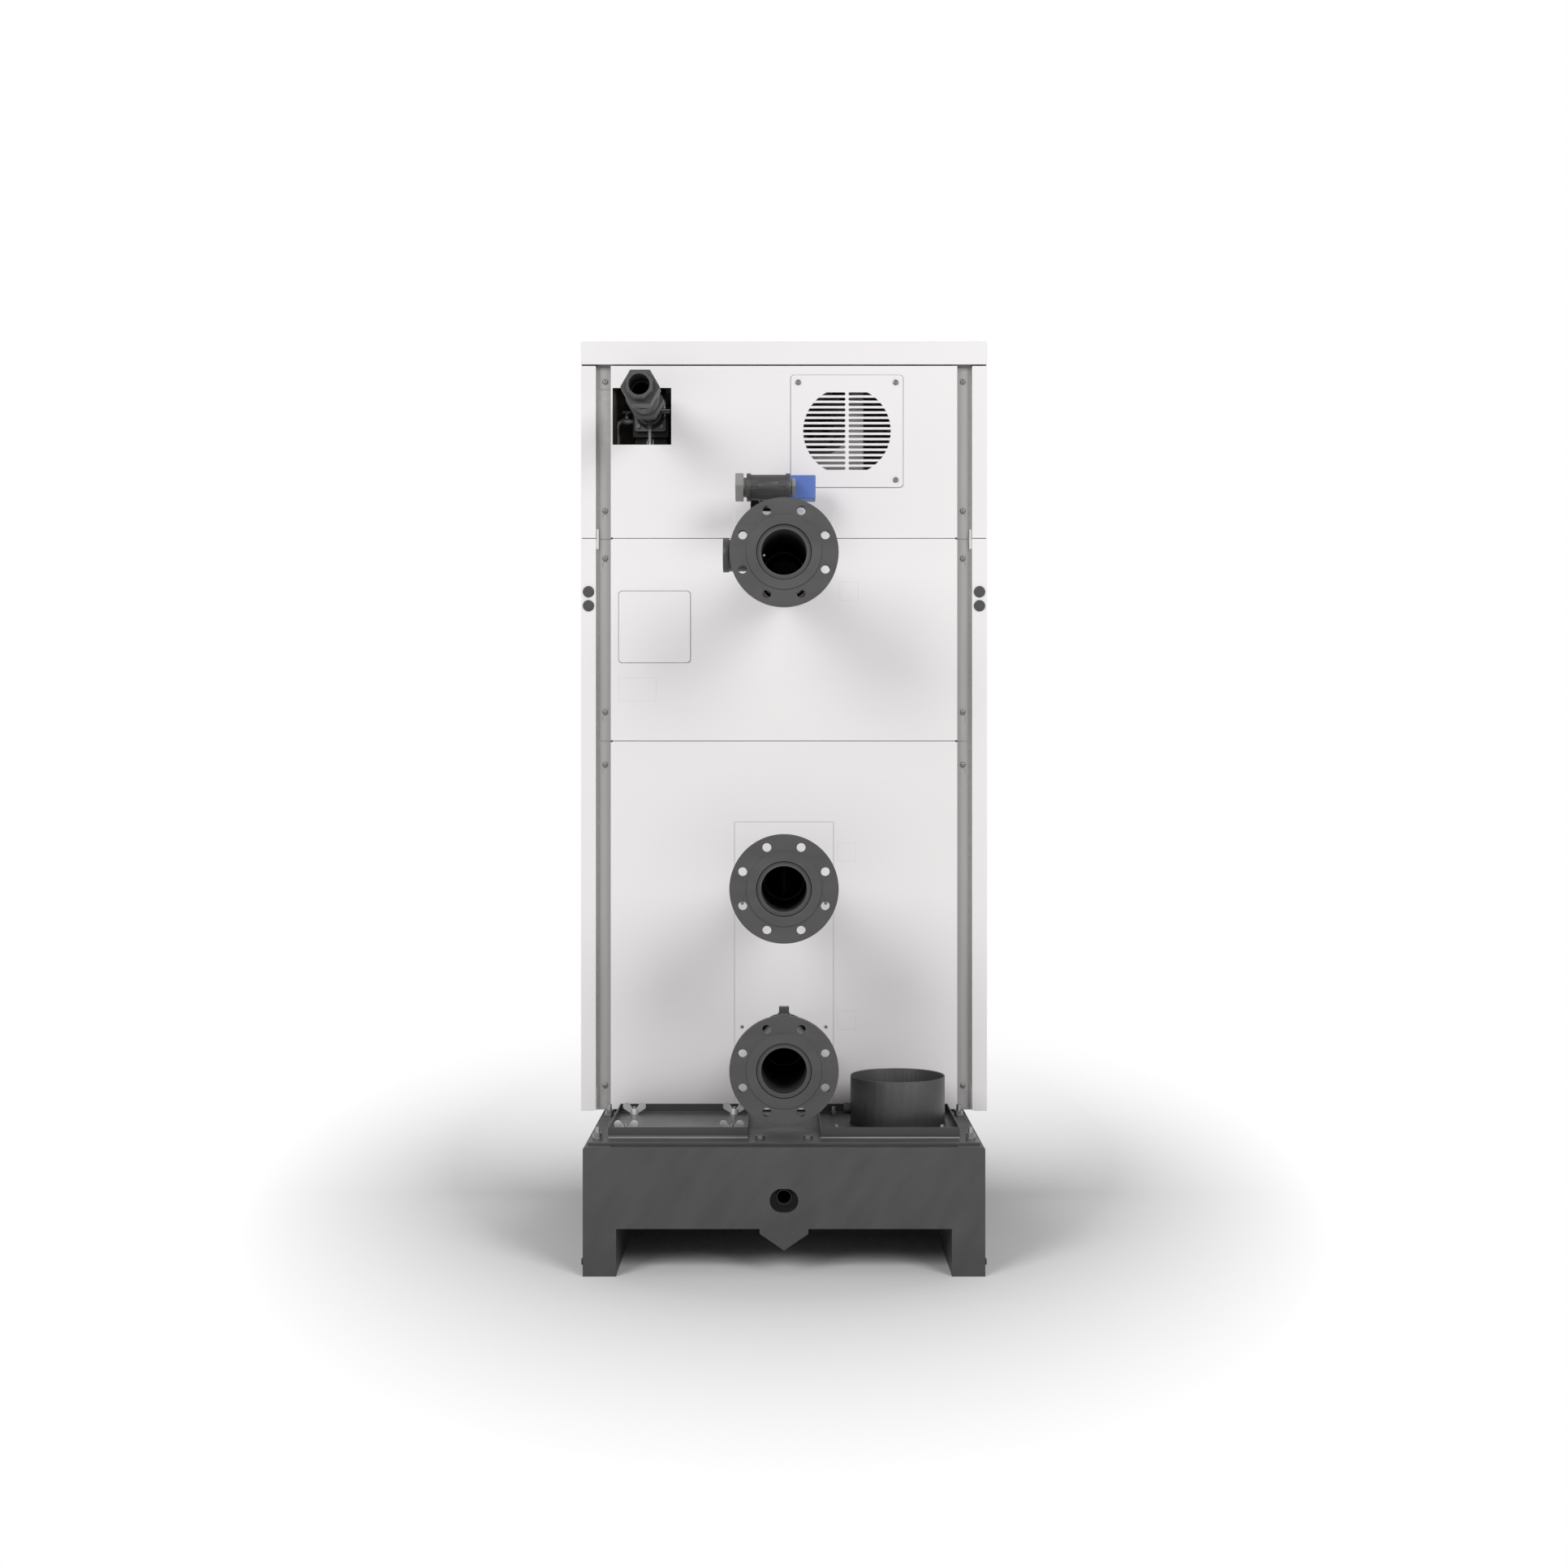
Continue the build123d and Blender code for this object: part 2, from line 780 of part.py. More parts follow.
def wing_nut(x, y):
    """A wing nut standing on the floor of the inspection cover."""
    ears = None
    for side in (1, -1):
        ear = Pos(side * wing_ear_reach, wing_ear_rise) * Circle(wing_ear_radius)
        root = Pos(side * wing_hub_top_radius / 2, wing_root_radius + 1) * Circle(wing_root_radius)
        wing = make_hull([*ear.edges(), *root.edges()])
        ears = wing if ears is None else ears + wing
    nut = along_y(ears, both(wing_thickness / 2))
    nut += Pos(0, 0, wing_hub_height / 2) * Cone(wing_hub_radius, wing_hub_top_radius, wing_hub_height)
    bore = Circle(pan_stud_radius + thread_gap)
    nut -= along_z(bore, (0, wing_ear_rise + wing_ear_radius))
    return Pos(x, y, pan_floor_z) * nut


def flue_spigot():
    """The flue socket, with a screwed test plug in its side."""
    z = (pan_floor_z, flue_top_z)
    tube = along_z(Pos(flue_x, flue_y) * Circle(flue_radius), z)
    plug_x = (flue_x, flue_x + flue_radius + test_plug_length)
    tube += along_x(Pos(flue_y, test_plug_z) * Circle(test_plug_radius), plug_x)
    return tube - along_z(Pos(flue_x, flue_y) * Circle(flue_radius - flue_wall), z)


def side_panel(side, z, has_hook):
    """A folded side panel with a rear return and lip and a short front return."""
    lip_x = half_width - return_width
    path = [
        (lip_x, rear_y - return_lip),
        (lip_x, rear_y),
        (half_width, rear_y),
        (half_width, side_front_y),
        (half_width - side_front_return, side_front_y),
    ]
    panel = along_z(folded_sheet(path, casing_sheet), z)
    panel -= along_y(Pos(lip_x, side_bottom_z) * Circle(notch_radius), (rear_y - casing_sheet, rear_y))
    if has_hook:
        for row in grommet_rows:
            hole = Pos(grommet_x, row) * Circle(grommet_plug_radius)
            panel -= along_y(hole, (rear_y - casing_sheet, rear_y))
        hook_y = (rear_y - return_lip / 2, rear_y - return_lip / 2 + casing_sheet)
        hook_x = post_outer_x - hook_width - 2 * post_gap
        panel += block((hook_x, lip_x), hook_y, (z[1] - hook_height, z[1]))
        panel += block((hook_x, hook_x + hook_width), hook_y, (z[1], z[1] + hook_height))
    return panel if side > 0 else mirror(panel, about=Plane.YZ)


def flange_strip(z, side):
    """One keyholed edge strip of a back panel, set back on the frame post."""
    inner_x = face_half - casing_sheet
    strip = rectangle((inner_x, flange_outer_x), z)
    strip = fillet(strip.vertices().sort_by(Axis.X)[-2:], flange_corner_radius)
    for row in screw_rows:
        if not z[0] < row < z[1]:
            continue
        strip -= Pos(screw_x, row) * Circle(keyhole_neck_radius)
        if row != screw_rows[0]:
            strip -= Pos(screw_x, row - keyhole_drop) * Circle(keyhole_radius)
            neck_x = (screw_x - keyhole_neck_radius, screw_x + keyhole_neck_radius)
            strip -= rectangle(neck_x, (row - keyhole_drop, row))
    plate = along_y(strip, (strip_y - casing_sheet, strip_y))
    return plate if side > 0 else mirror(plate, about=Plane.YZ)


def back_panel(z, right_strips=None):
    """A back panel: a raised face with returns all round and a keyholed strip down each side."""
    path = [
        (-face_half, strip_y - casing_sheet),
        (-face_half, rear_y),
        (face_half, rear_y),
        (face_half, strip_y - casing_sheet),
    ]
    panel = along_z(folded_sheet(path, casing_sheet), z)
    edge_x = both(face_half - 2 * relief_radius)
    edge_y = (rear_y - panel_edge_return, rear_y)
    panel += block(edge_x, edge_y, (z[0], z[0] + casing_sheet))
    panel += block(edge_x, edge_y, (z[1] - casing_sheet, z[1]))
    panel += flange_strip(z, -1)
    for strip in right_strips or [z]:
        panel += flange_strip(strip, 1)
    for x in both(face_half - relief_radius):
        for seam in (side_seam_z, back_seam_z):
            panel -= along_y(Pos(x, seam) * Circle(relief_radius), (rear_y - casing_sheet, rear_y))
    return panel


def back_cut(section):
    """What a hole through a panel face and its edge returns removes."""
    return along_y(section, (rear_y - panel_edge_return, rear_y))


def back_panel_top():
    bottom = side_seam_z + seam_gap / 2
    strips = [(bottom, gas_window_z[0]), (gas_window_z[1], panel_top_z)]
    panel = back_panel((bottom, panel_top_z), strips)
    panel -= back_cut(rectangle(gas_window_x, gas_window_z))
    panel -= back_cut(rectangle(tee_window_x, (bottom, tee_window_top_z)))
    return panel - back_cut(Pos(grille_x, grille_z) * Circle(grille_back_hole_radius))


def back_panel_middle():
    """The middle panel, slotted from its top edge so that it lifts off round the flow pipe."""
    top = side_seam_z - seam_gap / 2
    panel = back_panel((back_seam_z + seam_gap / 2, top))
    slot = Pos(0, flow_z) * Circle(pipe_hole_radius) + rectangle(both(pipe_hole_radius), (flow_z, top))
    return panel - back_cut(slot)


def back_panel_bottom():
    """The bottom panel, slotted from its lower edge for both return pipes."""
    panel = back_panel((back_bottom_z, back_seam_z - seam_gap / 2))
    slot_half = insert_width / 2 - panel_flange
    return panel - back_cut(rectangle(both(slot_half), (back_bottom_z, return_slot_top_z)))


def insert_plate(z, pipe_heights):
    """A loose plate that closes the slot of a back panel round its pipes."""
    plate = rectangle(both(insert_width / 2), z)
    for height in pipe_heights:
        plate -= Pos(0, height) * Circle(pipe_hole_radius)
    return along_y(plate, (rear_y, rear_y + insert_thickness))


def grille_plate():
    """The air grille: two columns of slots, cut off by one circle."""
    outline = RectangleRounded(grille_side, grille_side, grille_corner_radius)
    slots = None
    for row in range(grille_rows):
        z = (row - (grille_rows - 1) / 2) * grille_pitch
        reach = sqrt(grille_circle_radius**2 - z**2) + grille_slot_height
        for side in (1, -1):
            center = side * (grille_bar / 2 + reach / 2)
            slot = Pos(center, z) * SlotOverall(reach, grille_slot_height)
            slots = slot if slots is None else slots + slot
    slots = slots & Circle(grille_circle_radius)
    section = Pos(grille_x, grille_z) * (outline - slots)
    return along_y(section, (rear_y, rear_y + grille_thickness))


def screw_head(x, z, y, radius, height):
    """A domed pan head on a face at y."""
    head = along_y(Pos(x, z) * Circle(radius), (y, y + height))
    return fillet(head.edges().sort_by(Axis.Y)[-1:], height * 0.6)


def panel_screws():
    """All screws on the back: pan heads in the keyholes, small ones, and the grille's socket screws."""
    pieces = []
    for row in screw_rows:
        for x in both(screw_x):
            pieces.append(screw_head(x, row, strip_y, screw_head_radius, screw_head_height))
    seat_y = rear_y + insert_thickness
    for row in insert_screw_rows:
        for x in both(insert_screw_x):
            pieces.append(screw_head(x, row, seat_y, small_screw_radius, small_screw_height))
    seat_y = rear_y + grille_thickness
    top_y = seat_y + washer_thickness + socket_head_height
    for dx in both(grille_screw_spacing / 2):
        for dz in both(grille_screw_spacing / 2):
            place = Pos(grille_x + dx, grille_z + dz)
            screw = along_y(place * Circle(washer_radius), (seat_y, seat_y + washer_thickness))
            screw += along_y(place * Circle(socket_head_radius), (seat_y, top_y))
            screw -= along_y(place * hexagon(2 * socket_radius), (top_y - socket_depth, top_y))
            pieces.append(screw)
    return group(pieces)


def cable_grommets():
    pieces = []
    for x in both(grommet_x):
        for row in grommet_rows:
            dome = screw_head(x, row, rear_y, grommet_radius, grommet_height)
            plug = Pos(x, row) * Circle(grommet_plug_radius)
            pieces.append(dome + along_y(plug, (rear_y - grommet_plug_depth, rear_y)))
    return group(pieces)


def top_cover():
    outer = block(both(half_width), (front_y, rear_y), (cover_bottom_z, cover_top_z))
    upright = outer.edges().filter_by(Axis.Z)
    top = outer.faces().sort_by(Axis.Z)[-1].edges()
    outer = fillet([*upright, *top], cover_edge_radius)
    inner_y = (front_y + casing_sheet, rear_y - casing_sheet)
    return outer - block(both(half_width - casing_sheet), inner_y, (cover_bottom_z, frame_top_z))


def casing_frame():
    """Four folded posts on the lid, four angle rails under the cover, and the wiring trunk."""
    pieces = []
    for rear_face_y in (post_rear_y, post_front_y + post_depth):
        front_face_y = rear_face_y - post_depth
        path = [
            (post_inner_x, rear_face_y),
            (post_outer_x, rear_face_y),
            (post_outer_x, front_face_y),
            (post_inner_x, front_face_y),
        ]
        post = along_z(folded_sheet(path, post_sheet), (lid_top_z, frame_rail_z))
        pieces += [post, mirror(post, about=Plane.YZ)]
    z = (frame_rail_z, frame_top_z)
    top = (frame_top_z - rail_sheet, frame_top_z)
    rear_inner_y = post_rear_y - post_depth
    front_inner_y = post_front_y + post_depth
    x = both(post_outer_x)
    rear_rail = block(x, (rear_inner_y, rear_inner_y + rail_sheet), z)
    pieces.append(rear_rail + block(x, (rear_inner_y, post_rear_y), top))
    front_rail = block(x, (front_inner_y - rail_sheet, front_inner_y), z)
    pieces.append(front_rail + block(x, (post_front_y, front_inner_y), top))
    y = (front_inner_y, rear_inner_y)
    side_rail = block((post_outer_x - rail_sheet, post_outer_x), y, z)
    side_rail += block((post_outer_x - rail_angle, post_outer_x), y, top)
    pieces += [side_rail, mirror(side_rail, about=Plane.YZ)]
    trunk_x_span = (trunk_x - trunk_width / 2, trunk_x + trunk_width / 2)
    trunk_y = (rear_inner_y - rail_sheet, rear_inner_y)
    pieces.append(block(trunk_x_span, trunk_y, (trunk_bottom_z, frame_top_z)))
    return group(pieces)


def front_shell(y, z):
    """A folded sheet box across the front, open to the back."""
    outer = block(both(half_width), y, z)
    front = outer.faces().sort_by(Axis.Y)[0].edges()
    outer = fillet(front, door_edge_radius - casing_sheet)
    inner_z = (z[0] + casing_sheet, z[1] - casing_sheet)
    return outer - block(both(half_width - casing_sheet), (y[0] + casing_sheet, y[1]), inner_z)


def recess(shell, x, z, depth):
    """Presses a flat-floored pocket into the front face of a shell."""
    sheet = casing_sheet
    wall_x = (x[0] - sheet, x[1] + sheet)
    wall_z = (z[0] - sheet, z[1] + sheet)
    shell += block(wall_x, (front_y + sheet, front_y + depth + sheet), wall_z)
    return shell - block(x, (front_y, front_y + depth), z)


def control_fascia():
    z = (side_seam_z + seam_gap / 2, panel_top_z)
    fascia = recess(front_shell((front_y, side_front_y), z), bay_x, bay_z, bay_depth)
    floor = (front_y + bay_depth, front_y + bay_depth + casing_sheet)
    fascia -= along_y(Pos(knob_x, bay_middle_z) * Circle(knob_shaft_radius + running_clearance), floor)
    fascia -= along_y(Pos(reset_x, reset_z) * Circle(reset_radius + running_clearance), floor)
    window = Rectangle(switch_width + 2 * switch_gap, switch_height + 2 * switch_gap)
    return fascia - along_y(Pos(switch_x, switch_z) * window, floor)


def front_door():
    """The front door, with a grip pocket, a dish for its lock and a pivot hole in each end."""
    z = (door_bottom_z, door_top_z)
    door = front_shell((front_y, door_back_y), z)
    grip_x_span = (grip_x - grip_width / 2, grip_x + grip_width / 2)
    grip_z_span = (grip_z - grip_height / 2, grip_z + grip_height / 2)
    door = recess(door, grip_x_span, grip_z_span, grip_depth)
    lock = Pos(lock_x, grip_z)
    dish_y = front_y + lock_dish_depth
    backing = Circle(lock_dish_radius + casing_sheet)
    door += along_y(lock * backing, (front_y + casing_sheet, dish_y + casing_sheet))
    door -= along_y(lock * Circle(lock_dish_radius), (front_y, dish_y))
    hole = Circle(lock_barrel_radius + running_clearance)
    door -= along_y(lock * hole, (dish_y, dish_y + casing_sheet))
    pivot = Pos(hinge_x, hinge_y) * Circle(hinge_pin_radius + running_clearance)
    door -= along_z(pivot, (z[0], z[0] + casing_sheet))
    return door - along_z(pivot, (z[1] - casing_sheet, z[1]))


def hinge_pins():
    """The two pivot brackets on the left front post, each a plate with an upright pin."""
    pieces = []
    pin = Pos(hinge_x, hinge_y) * Circle(hinge_pin_radius)
    front_x = (-half_width + hinge_inset_x - 2 * hinge_pin_radius + seat_gap, 0)
    front_x = (front_x[0], front_x[0] + hinge_plate_front_width)
    rear_x = (-half_width + side_front_return + 2, 0)
    rear_x = (rear_x[0], rear_x[0] + hinge_plate_rear_width)
    plate = rectangle(front_x, (hinge_y - 2 * hinge_pin_radius, side_front_y - seat_gap))
    plate += rectangle(rear_x, (side_front_y - seat_gap, post_front_y))
    low = (door_bottom_z - seat_gap - hinge_plate, door_bottom_z - seat_gap)
    high = (door_top_z + seat_gap, door_top_z + seat_gap + hinge_plate)
    pieces.append(along_z(plate, low) + along_z(pin, (low[1], low[1] + hinge_pin_reach)))
    pieces.append(along_z(plate, high) + along_z(pin, (high[0] - hinge_pin_reach, high[0])))
    return group(pieces)


def door_lock():
    """A quarter-turn lock whose cam hangs down when the door is free."""
    place = Pos(lock_x, grip_z)
    head_y = front_y + lock_dish_depth
    cam_y = post_front_y + post_sheet + lock_cam_gap
    lock = along_y(place * Circle(lock_head_radius), (head_y - lock_head_thickness, head_y))
    slot = place * Rectangle(2 * lock_head_radius, lock_slot_width)
    lock -= along_y(slot, (head_y - lock_head_thickness, head_y - lock_head_thickness + lock_slot_depth))
    lock += along_y(place * Circle(lock_barrel_radius), (head_y, cam_y))
    cam = Pos(lock_x, grip_z - lock_cam_length / 2 + lock_cam_width / 4)
    cam *= Rot(0, 0, 90) * SlotOverall(lock_cam_length + lock_cam_width / 2, lock_cam_width)
    return lock + along_y(cam, (cam_y, cam_y + lock_cam_thickness))


def display():
    y = front_y + bay_depth
    glass = Pos(display_x, bay_middle_z) * RectangleRounded(display_width, display_height, 4)
    return along_y(glass, (y - display_thickness, y))


def selector_knob():
    """A grooved knob on a stepped skirt, with its shaft through the bay floor."""
    floor_y = front_y + bay_depth
    place = Pos(knob_x, bay_middle_z)
    skirt_y = floor_y - seat_gap - knob_skirt_height
    knob = along_y(place * Circle(knob_skirt_radius), (skirt_y, floor_y - seat_gap))
    grip = Circle(knob_radius)
    for index in range(knob_grooves):
        angle = 360 / knob_grooves * index
        grip -= Rot(0, 0, angle) * Pos(knob_radius, 0) * Circle(1.2)
    knob += along_y(place * grip, (skirt_y - knob_height + knob_skirt_height, skirt_y))
    shaft_y = (floor_y - seat_gap, floor_y + casing_sheet + knob_skirt_height)
    return knob + along_y(place * Circle(knob_shaft_radius), shaft_y)


def power_switch():
    """A rocker that rests tipped to off; it turns about its middle, level with the bay floor."""
    floor_y = front_y + bay_depth
    half = switch_height / 2
    depth = switch_depth / 2
    profile = make_face(
        Polyline(
            (depth, -half), (-depth, -half), (-depth + 2, 0), (-depth, half), (depth, half), close=True
        )
    )
    x = (switch_x - switch_width / 2, switch_x + switch_width / 2)
    rocker = along_x(profile, x)
    return Pos(0, floor_y, switch_z) * Rot(switch_tilt, 0, 0) * rocker


def reset_button():
    """A push button whose collar behind the bay floor keeps it in."""
    floor_y = front_y + bay_depth
    place = Pos(reset_x, reset_z)
    back_y = floor_y + casing_sheet + seat_gap
    button = along_y(place * Circle(reset_radius), (floor_y - reset_height, back_y))
    collar = place * Circle(reset_collar_radius)
    return button + along_y(collar, (back_y, back_y + casing_sheet))


def tube_places():
    """A triangular pattern of smoke tubes, as rings round a middle one."""
    reach = range(-smoke_tube_rings, smoke_tube_rings + 1)
    return [
        (smoke_tube_pitch * (i + j / 2), vessel_y + smoke_tube_pitch * j * sqrt(3) / 2)
        for i in reach
        for j in reach
        if abs(i + j) <= smoke_tube_rings
    ]


def pressure_vessel():
    """The welded vessel: shell, lower tube plate, top ring, chamber wall and upper tube plate."""
    shell_inner = vessel_radius - vessel_wall
    chamber_inner = chamber_radius - chamber_wall
    profile = [
        (0, lower_plate_z),
        (shell_inner, lower_plate_z),
        (shell_inner, lid_top_z),
        (vessel_radius, lid_top_z),
        (vessel_radius, vessel_top_z),
        (chamber_inner, vessel_top_z),
        (chamber_inner, upper_plate_z + tube_plate),
        (0, upper_plate_z + tube_plate),
        (0, upper_plate_z),
        (chamber_radius, upper_plate_z),
        (chamber_radius, vessel_top_z - tube_plate),
        (shell_inner, vessel_top_z - tube_plate),
        (shell_inner, lower_plate_z + tube_plate),
        (0, lower_plate_z + tube_plate),
    ]
    vessel = revolve(Plane.XZ * make_face(Polyline(*profile, close=True)), Axis.Z)
    vessel = Pos(0, vessel_y, 0) * vessel
    cuts = []
    for x, y in tube_places():
        for z in (lower_plate_z, upper_plate_z):
            cuts.append(along_z(Pos(x, y) * Circle(smoke_tube_radius), (z, z + tube_plate)))
    nozzle_y = (vessel_y + chamber_radius + chamber_wall, vessel_y + vessel_radius)
    for z in (flow_z, upper_return_z, lower_return_z):
        cuts.append(along_y(Pos(0, z) * Circle(nozzle_inner_radius), nozzle_y))
    return vessel - cuts


def smoke_tubes():
    section = ring(smoke_tube_radius, smoke_tube_radius - smoke_tube_wall)
    z = (lower_plate_z, upper_plate_z + tube_plate)
    return group([along_z(Pos(x, y) * section, z) for x, y in tube_places()])


def insulation_jacket():
    inner = vessel_radius + jacket_gap
    jacket = along_z(Pos(0, vessel_y) * ring(inner + jacket_thickness, inner), (lid_top_z, jacket_top_z))
    reach = (vessel_y, vessel_y + inner + jacket_thickness)
    for z in (flow_z, upper_return_z, lower_return_z):
        jacket -= along_y(Pos(0, z) * Circle(jacket_hole_radius), reach)
    return jacket


def burner():
    """The burner plate on the vessel's top ring, with the closed burner head below it."""
    head_z = vessel_top_z - burner_head_length
    head_inner = burner_head_radius - burner_wall
    mouth = duct_radius - duct_wall
    profile = [
        (mouth, burner_top_z),
        (burner_plate_radius, burner_top_z),
        (burner_plate_radius, vessel_top_z),
        (burner_head_radius, vessel_top_z),
        (burner_head_radius, head_z),
        (0, head_z),
        (0, head_z + burner_wall),
        (head_inner, head_z + burner_wall),
        (head_inner, vessel_top_z),
        (mouth, vessel_top_z),
    ]
    shape = revolve(Plane.XZ * make_face(Polyline(*profile, close=True)), Axis.Z)
    return Pos(0, vessel_y, 0) * shape


def mixture_duct():
    """A double-bend duct from the fan outlet down and forward to the burner plate."""
    points = [
        (0, fan_y, fan_outlet_z),
        (0, fan_y, fan_outlet_z - duct_end_run - duct_bend),
        (0, vessel_y, fan_outlet_z - duct_end_run - duct_bend),
        (0, vessel_y, burner_top_z),
    ]
    inner = duct_radius - duct_wall
    duct = bent_tube(points, duct_bend - 0.001, duct_radius, inner)
    flange = ring(duct_flange_radius, inner)
    duct += along_z(Pos(0, fan_y) * flange, (fan_outlet_z - duct_flange, fan_outlet_z))
    return duct + along_z(Pos(0, vessel_y) * flange, (burner_top_z, burner_top_z + duct_flange))


def scroll_outline():
    """The fan's scroll: quarter arcs about the corners of a small square, then a straight neck."""
    half = fan_scroll_step / 2
    centers = [(half, -half), (half, half), (-half, half), (-half, -half)]
    arcs = []
    for index, center in enumerate(centers):
        arcs.append(CenterArc(center, fan_scroll_radius - index * fan_scroll_step, 90 * index, 90))
    outer_x = half + fan_scroll_radius
    inner_x = -half + fan_scroll_radius - 3 * fan_scroll_step
    neck = Polyline(
        (inner_x, -half), (inner_x, -fan_outlet_drop), (outer_x, -fan_outlet_drop), (outer_x, -half)
    )
    return make_face([*arcs, *neck.edges()])


def fan_housing():
    """The fan's scroll housing, with a lipped inlet behind and an outlet plate below."""
    place = Pos(fan_x, fan_z)
    outline = scroll_outline()
    y = (fan_y - fan_width / 2, fan_y + fan_width / 2)
    housing = along_y(place * outline, y)
    inlet_y = (y[1], y[1] + fan_inlet_length)
    housing += along_y(place * Circle(fan_inlet_radius + fan_inlet_lip), inlet_y)
    plate_x = both(fan_outlet_half + fan_outlet_rim)
    plate_y = (y[0] - fan_outlet_rim, y[1] + fan_outlet_rim)
    housing += block(plate_x, plate_y, (fan_outlet_z, fan_outlet_z + fan_outlet_plate))
    cavity = place * offset(outline, -fan_wall)
    cavity_y = (y[0] + fan_wall, y[1] - fan_wall)
    housing -= along_y(cavity, cavity_y)
    mouth_x = both(fan_outlet_half - fan_wall)
    housing -= block(mouth_x, cavity_y, (fan_outlet_z, fan_outlet_z + fan_outlet_plate))
    housing -= along_y(place * Circle(fan_inlet_radius), (cavity_y[1], inlet_y[1]))
    return housing - along_y(place * Circle(shaft_radius + running_clearance), (y[0], cavity_y[0]))


def fan_impeller():
    """A wheel with backward-curved blades between a back disc and an inlet ring, on its shaft."""
    start_y = fan_y - fan_width / 2 + fan_wall + impeller_side_gap
    blade_y = (start_y + impeller_disc, start_y + impeller_width - impeller_disc)
    wheel = along_y(Circle(impeller_radius), (start_y, blade_y[0]))
    tip_radius = impeller_radius - impeller_blade_thickness
    sweep_angle = radians(impeller_blade_sweep)
    tip = (tip_radius * cos(sweep_angle), tip_radius * sin(sweep_angle))
    arc = SagittaArc((impeller_hub_radius, 0), tip, -impeller_blade_sagitta)
    blade = trace(arc, impeller_blade_thickness)
    for index in range(impeller_blades):
        turned = Rot(0, 0, 360 / impeller_blades * index) * blade
        wheel += along_y(turned, blade_y)
    rim = ring(impeller_radius, impeller_eye_radius)
    wheel += along_y(rim, (blade_y[1], blade_y[1] + impeller_disc))
    wheel += along_y(Circle(impeller_hub_radius), (start_y, blade_y[0] + impeller_width / 3))
    shaft_y = fan_y - fan_width / 2 - motor_length / 3
    wheel += along_y(Circle(shaft_radius), (shaft_y, start_y))
    return Pos(fan_x, 0, fan_z) * wheel


def fan_motor():
    """The finned motor on the front of the fan housing, bored for the shaft."""
    rear = fan_y - fan_width / 2
    motor = along_y(Circle(motor_radius), (rear - motor_length, rear))
    groove = ring(motor_radius + 1, motor_radius - motor_fin_depth)
    pitch = motor_length / (motor_fins + 1)
    for index in range(motor_fins):
        middle = rear - pitch * (index + 1)
        motor -= along_y(groove, (middle - pitch / 4, middle + pitch / 4))
    bore = Circle(shaft_radius + running_clearance)
    motor -= along_y(bore, (rear - motor_length / 3 - seat_gap, rear))
    return Pos(fan_x, 0, fan_z) * motor


def impulse_tube():
    """The thin tube from the tap under the collar down to the valve's switch box."""
    box_back_y = valve_y + valve_box_depth / 2
    end_z = gas_z - valve_height / 2 - valve_box_height / 2
    points = [(gas_x, tap_y, tap_hex_z), (gas_x, tap_y, end_z), (gas_x, box_back_y, end_z)]
    return bent_tube(points, tap_bend, tap_tube_radius, tap_tube_radius / 2)


def gas_union():
    """The union from its eight-sided tail to the collar on the valve's plate, turned along Y."""
    bore_end = gas_tail_y - gas_tail_length - gas_nut_length
    tail = RegularPolygon(gas_tail_flats / 2, 8, major_radius=False, rotation=22.5)
    spans = [
        (tail, gas_tail_length),
        (Circle(gas_neck_radius), gas_nut_length),
        (hexagon(gas_step_flats), gas_step_length),
        (Circle(gas_body_radius), bore_end - gas_step_length - gas_hex_y),
        (hexagon(gas_hex_flats), gas_hex_length),
        (Circle(gas_pipe_radius), gas_hex_y - gas_hex_length - gas_plate_y),
    ]
    union = None
    y = gas_tail_y
    for section, length in spans:
        step = along_y(section, (y - length, y))
        union = step if union is None else union + step
        y -= length
    base = Plane.XZ.offset(-gas_plate_y)
    front = Plane.XZ.offset(-gas_plate_y - gas_collar_length)
    union += loft([base * Circle(gas_collar_base_radius), front * Circle(gas_collar_radius)])
    tap_z = (tap_hex_z - gas_z, tap_hex_top_z - gas_z)
    union += along_z(Pos(0, tap_y) * hexagon(tap_hex_flats), tap_z)
    union -= along_y(Circle(gas_bore_radius), (bore_end, gas_tail_y))
    union -= along_y(Circle(gas_throat_radius), (gas_plate_y, bore_end))
    return Pos(gas_x, 0, gas_z) * union + impulse_tube()


def gas_union_nut():
    top = gas_tail_y - gas_tail_length
    section = hexagon(gas_nut_flats) - Circle(gas_neck_radius)
    nut = along_y(section, (top - gas_nut_length, top))
    return Pos(gas_x, 0, gas_z) * nut


def gas_valve():
    """The gas valve: flange plate with screws, body, coil on top and switch box below."""
    plate_y = (gas_plate_y - gas_plate, gas_plate_y)
    center = Pos(gas_x, gas_z)
    plate = RectangleRounded(gas_plate_width, gas_plate_height, gas_plate_radius)
    valve = along_y(center * (plate - Circle(gas_throat_radius)), plate_y)
    head = Circle(socket_head_radius) - Circle(socket_radius)
    for dx in both(gas_plate_screw_x):
        for dz in both(gas_plate_screw_z):
            valve += along_y(center * Pos(dx, dz) * head, (plate_y[1], plate_y[1] + socket_depth))
    body_z = (gas_z - valve_height / 2, gas_z + valve_height / 2)
    half = valve_width / 2
    body = block((gas_x - half, gas_x + half), (plate_y[0] - valve_depth, plate_y[0]), body_z)
    valve += fillet(body.edges().filter_by(Axis.Y), valve_edge_radius)
    middle = Pos(gas_x, valve_y)
    valve += along_z(middle * Circle(valve_coil_radius), (body_z[1], body_z[1] + valve_coil_height))
    box = middle * Rectangle(valve_box_width, valve_box_depth)
    return valve + along_z(box, (body_z[0] - valve_box_height, body_z[0]))


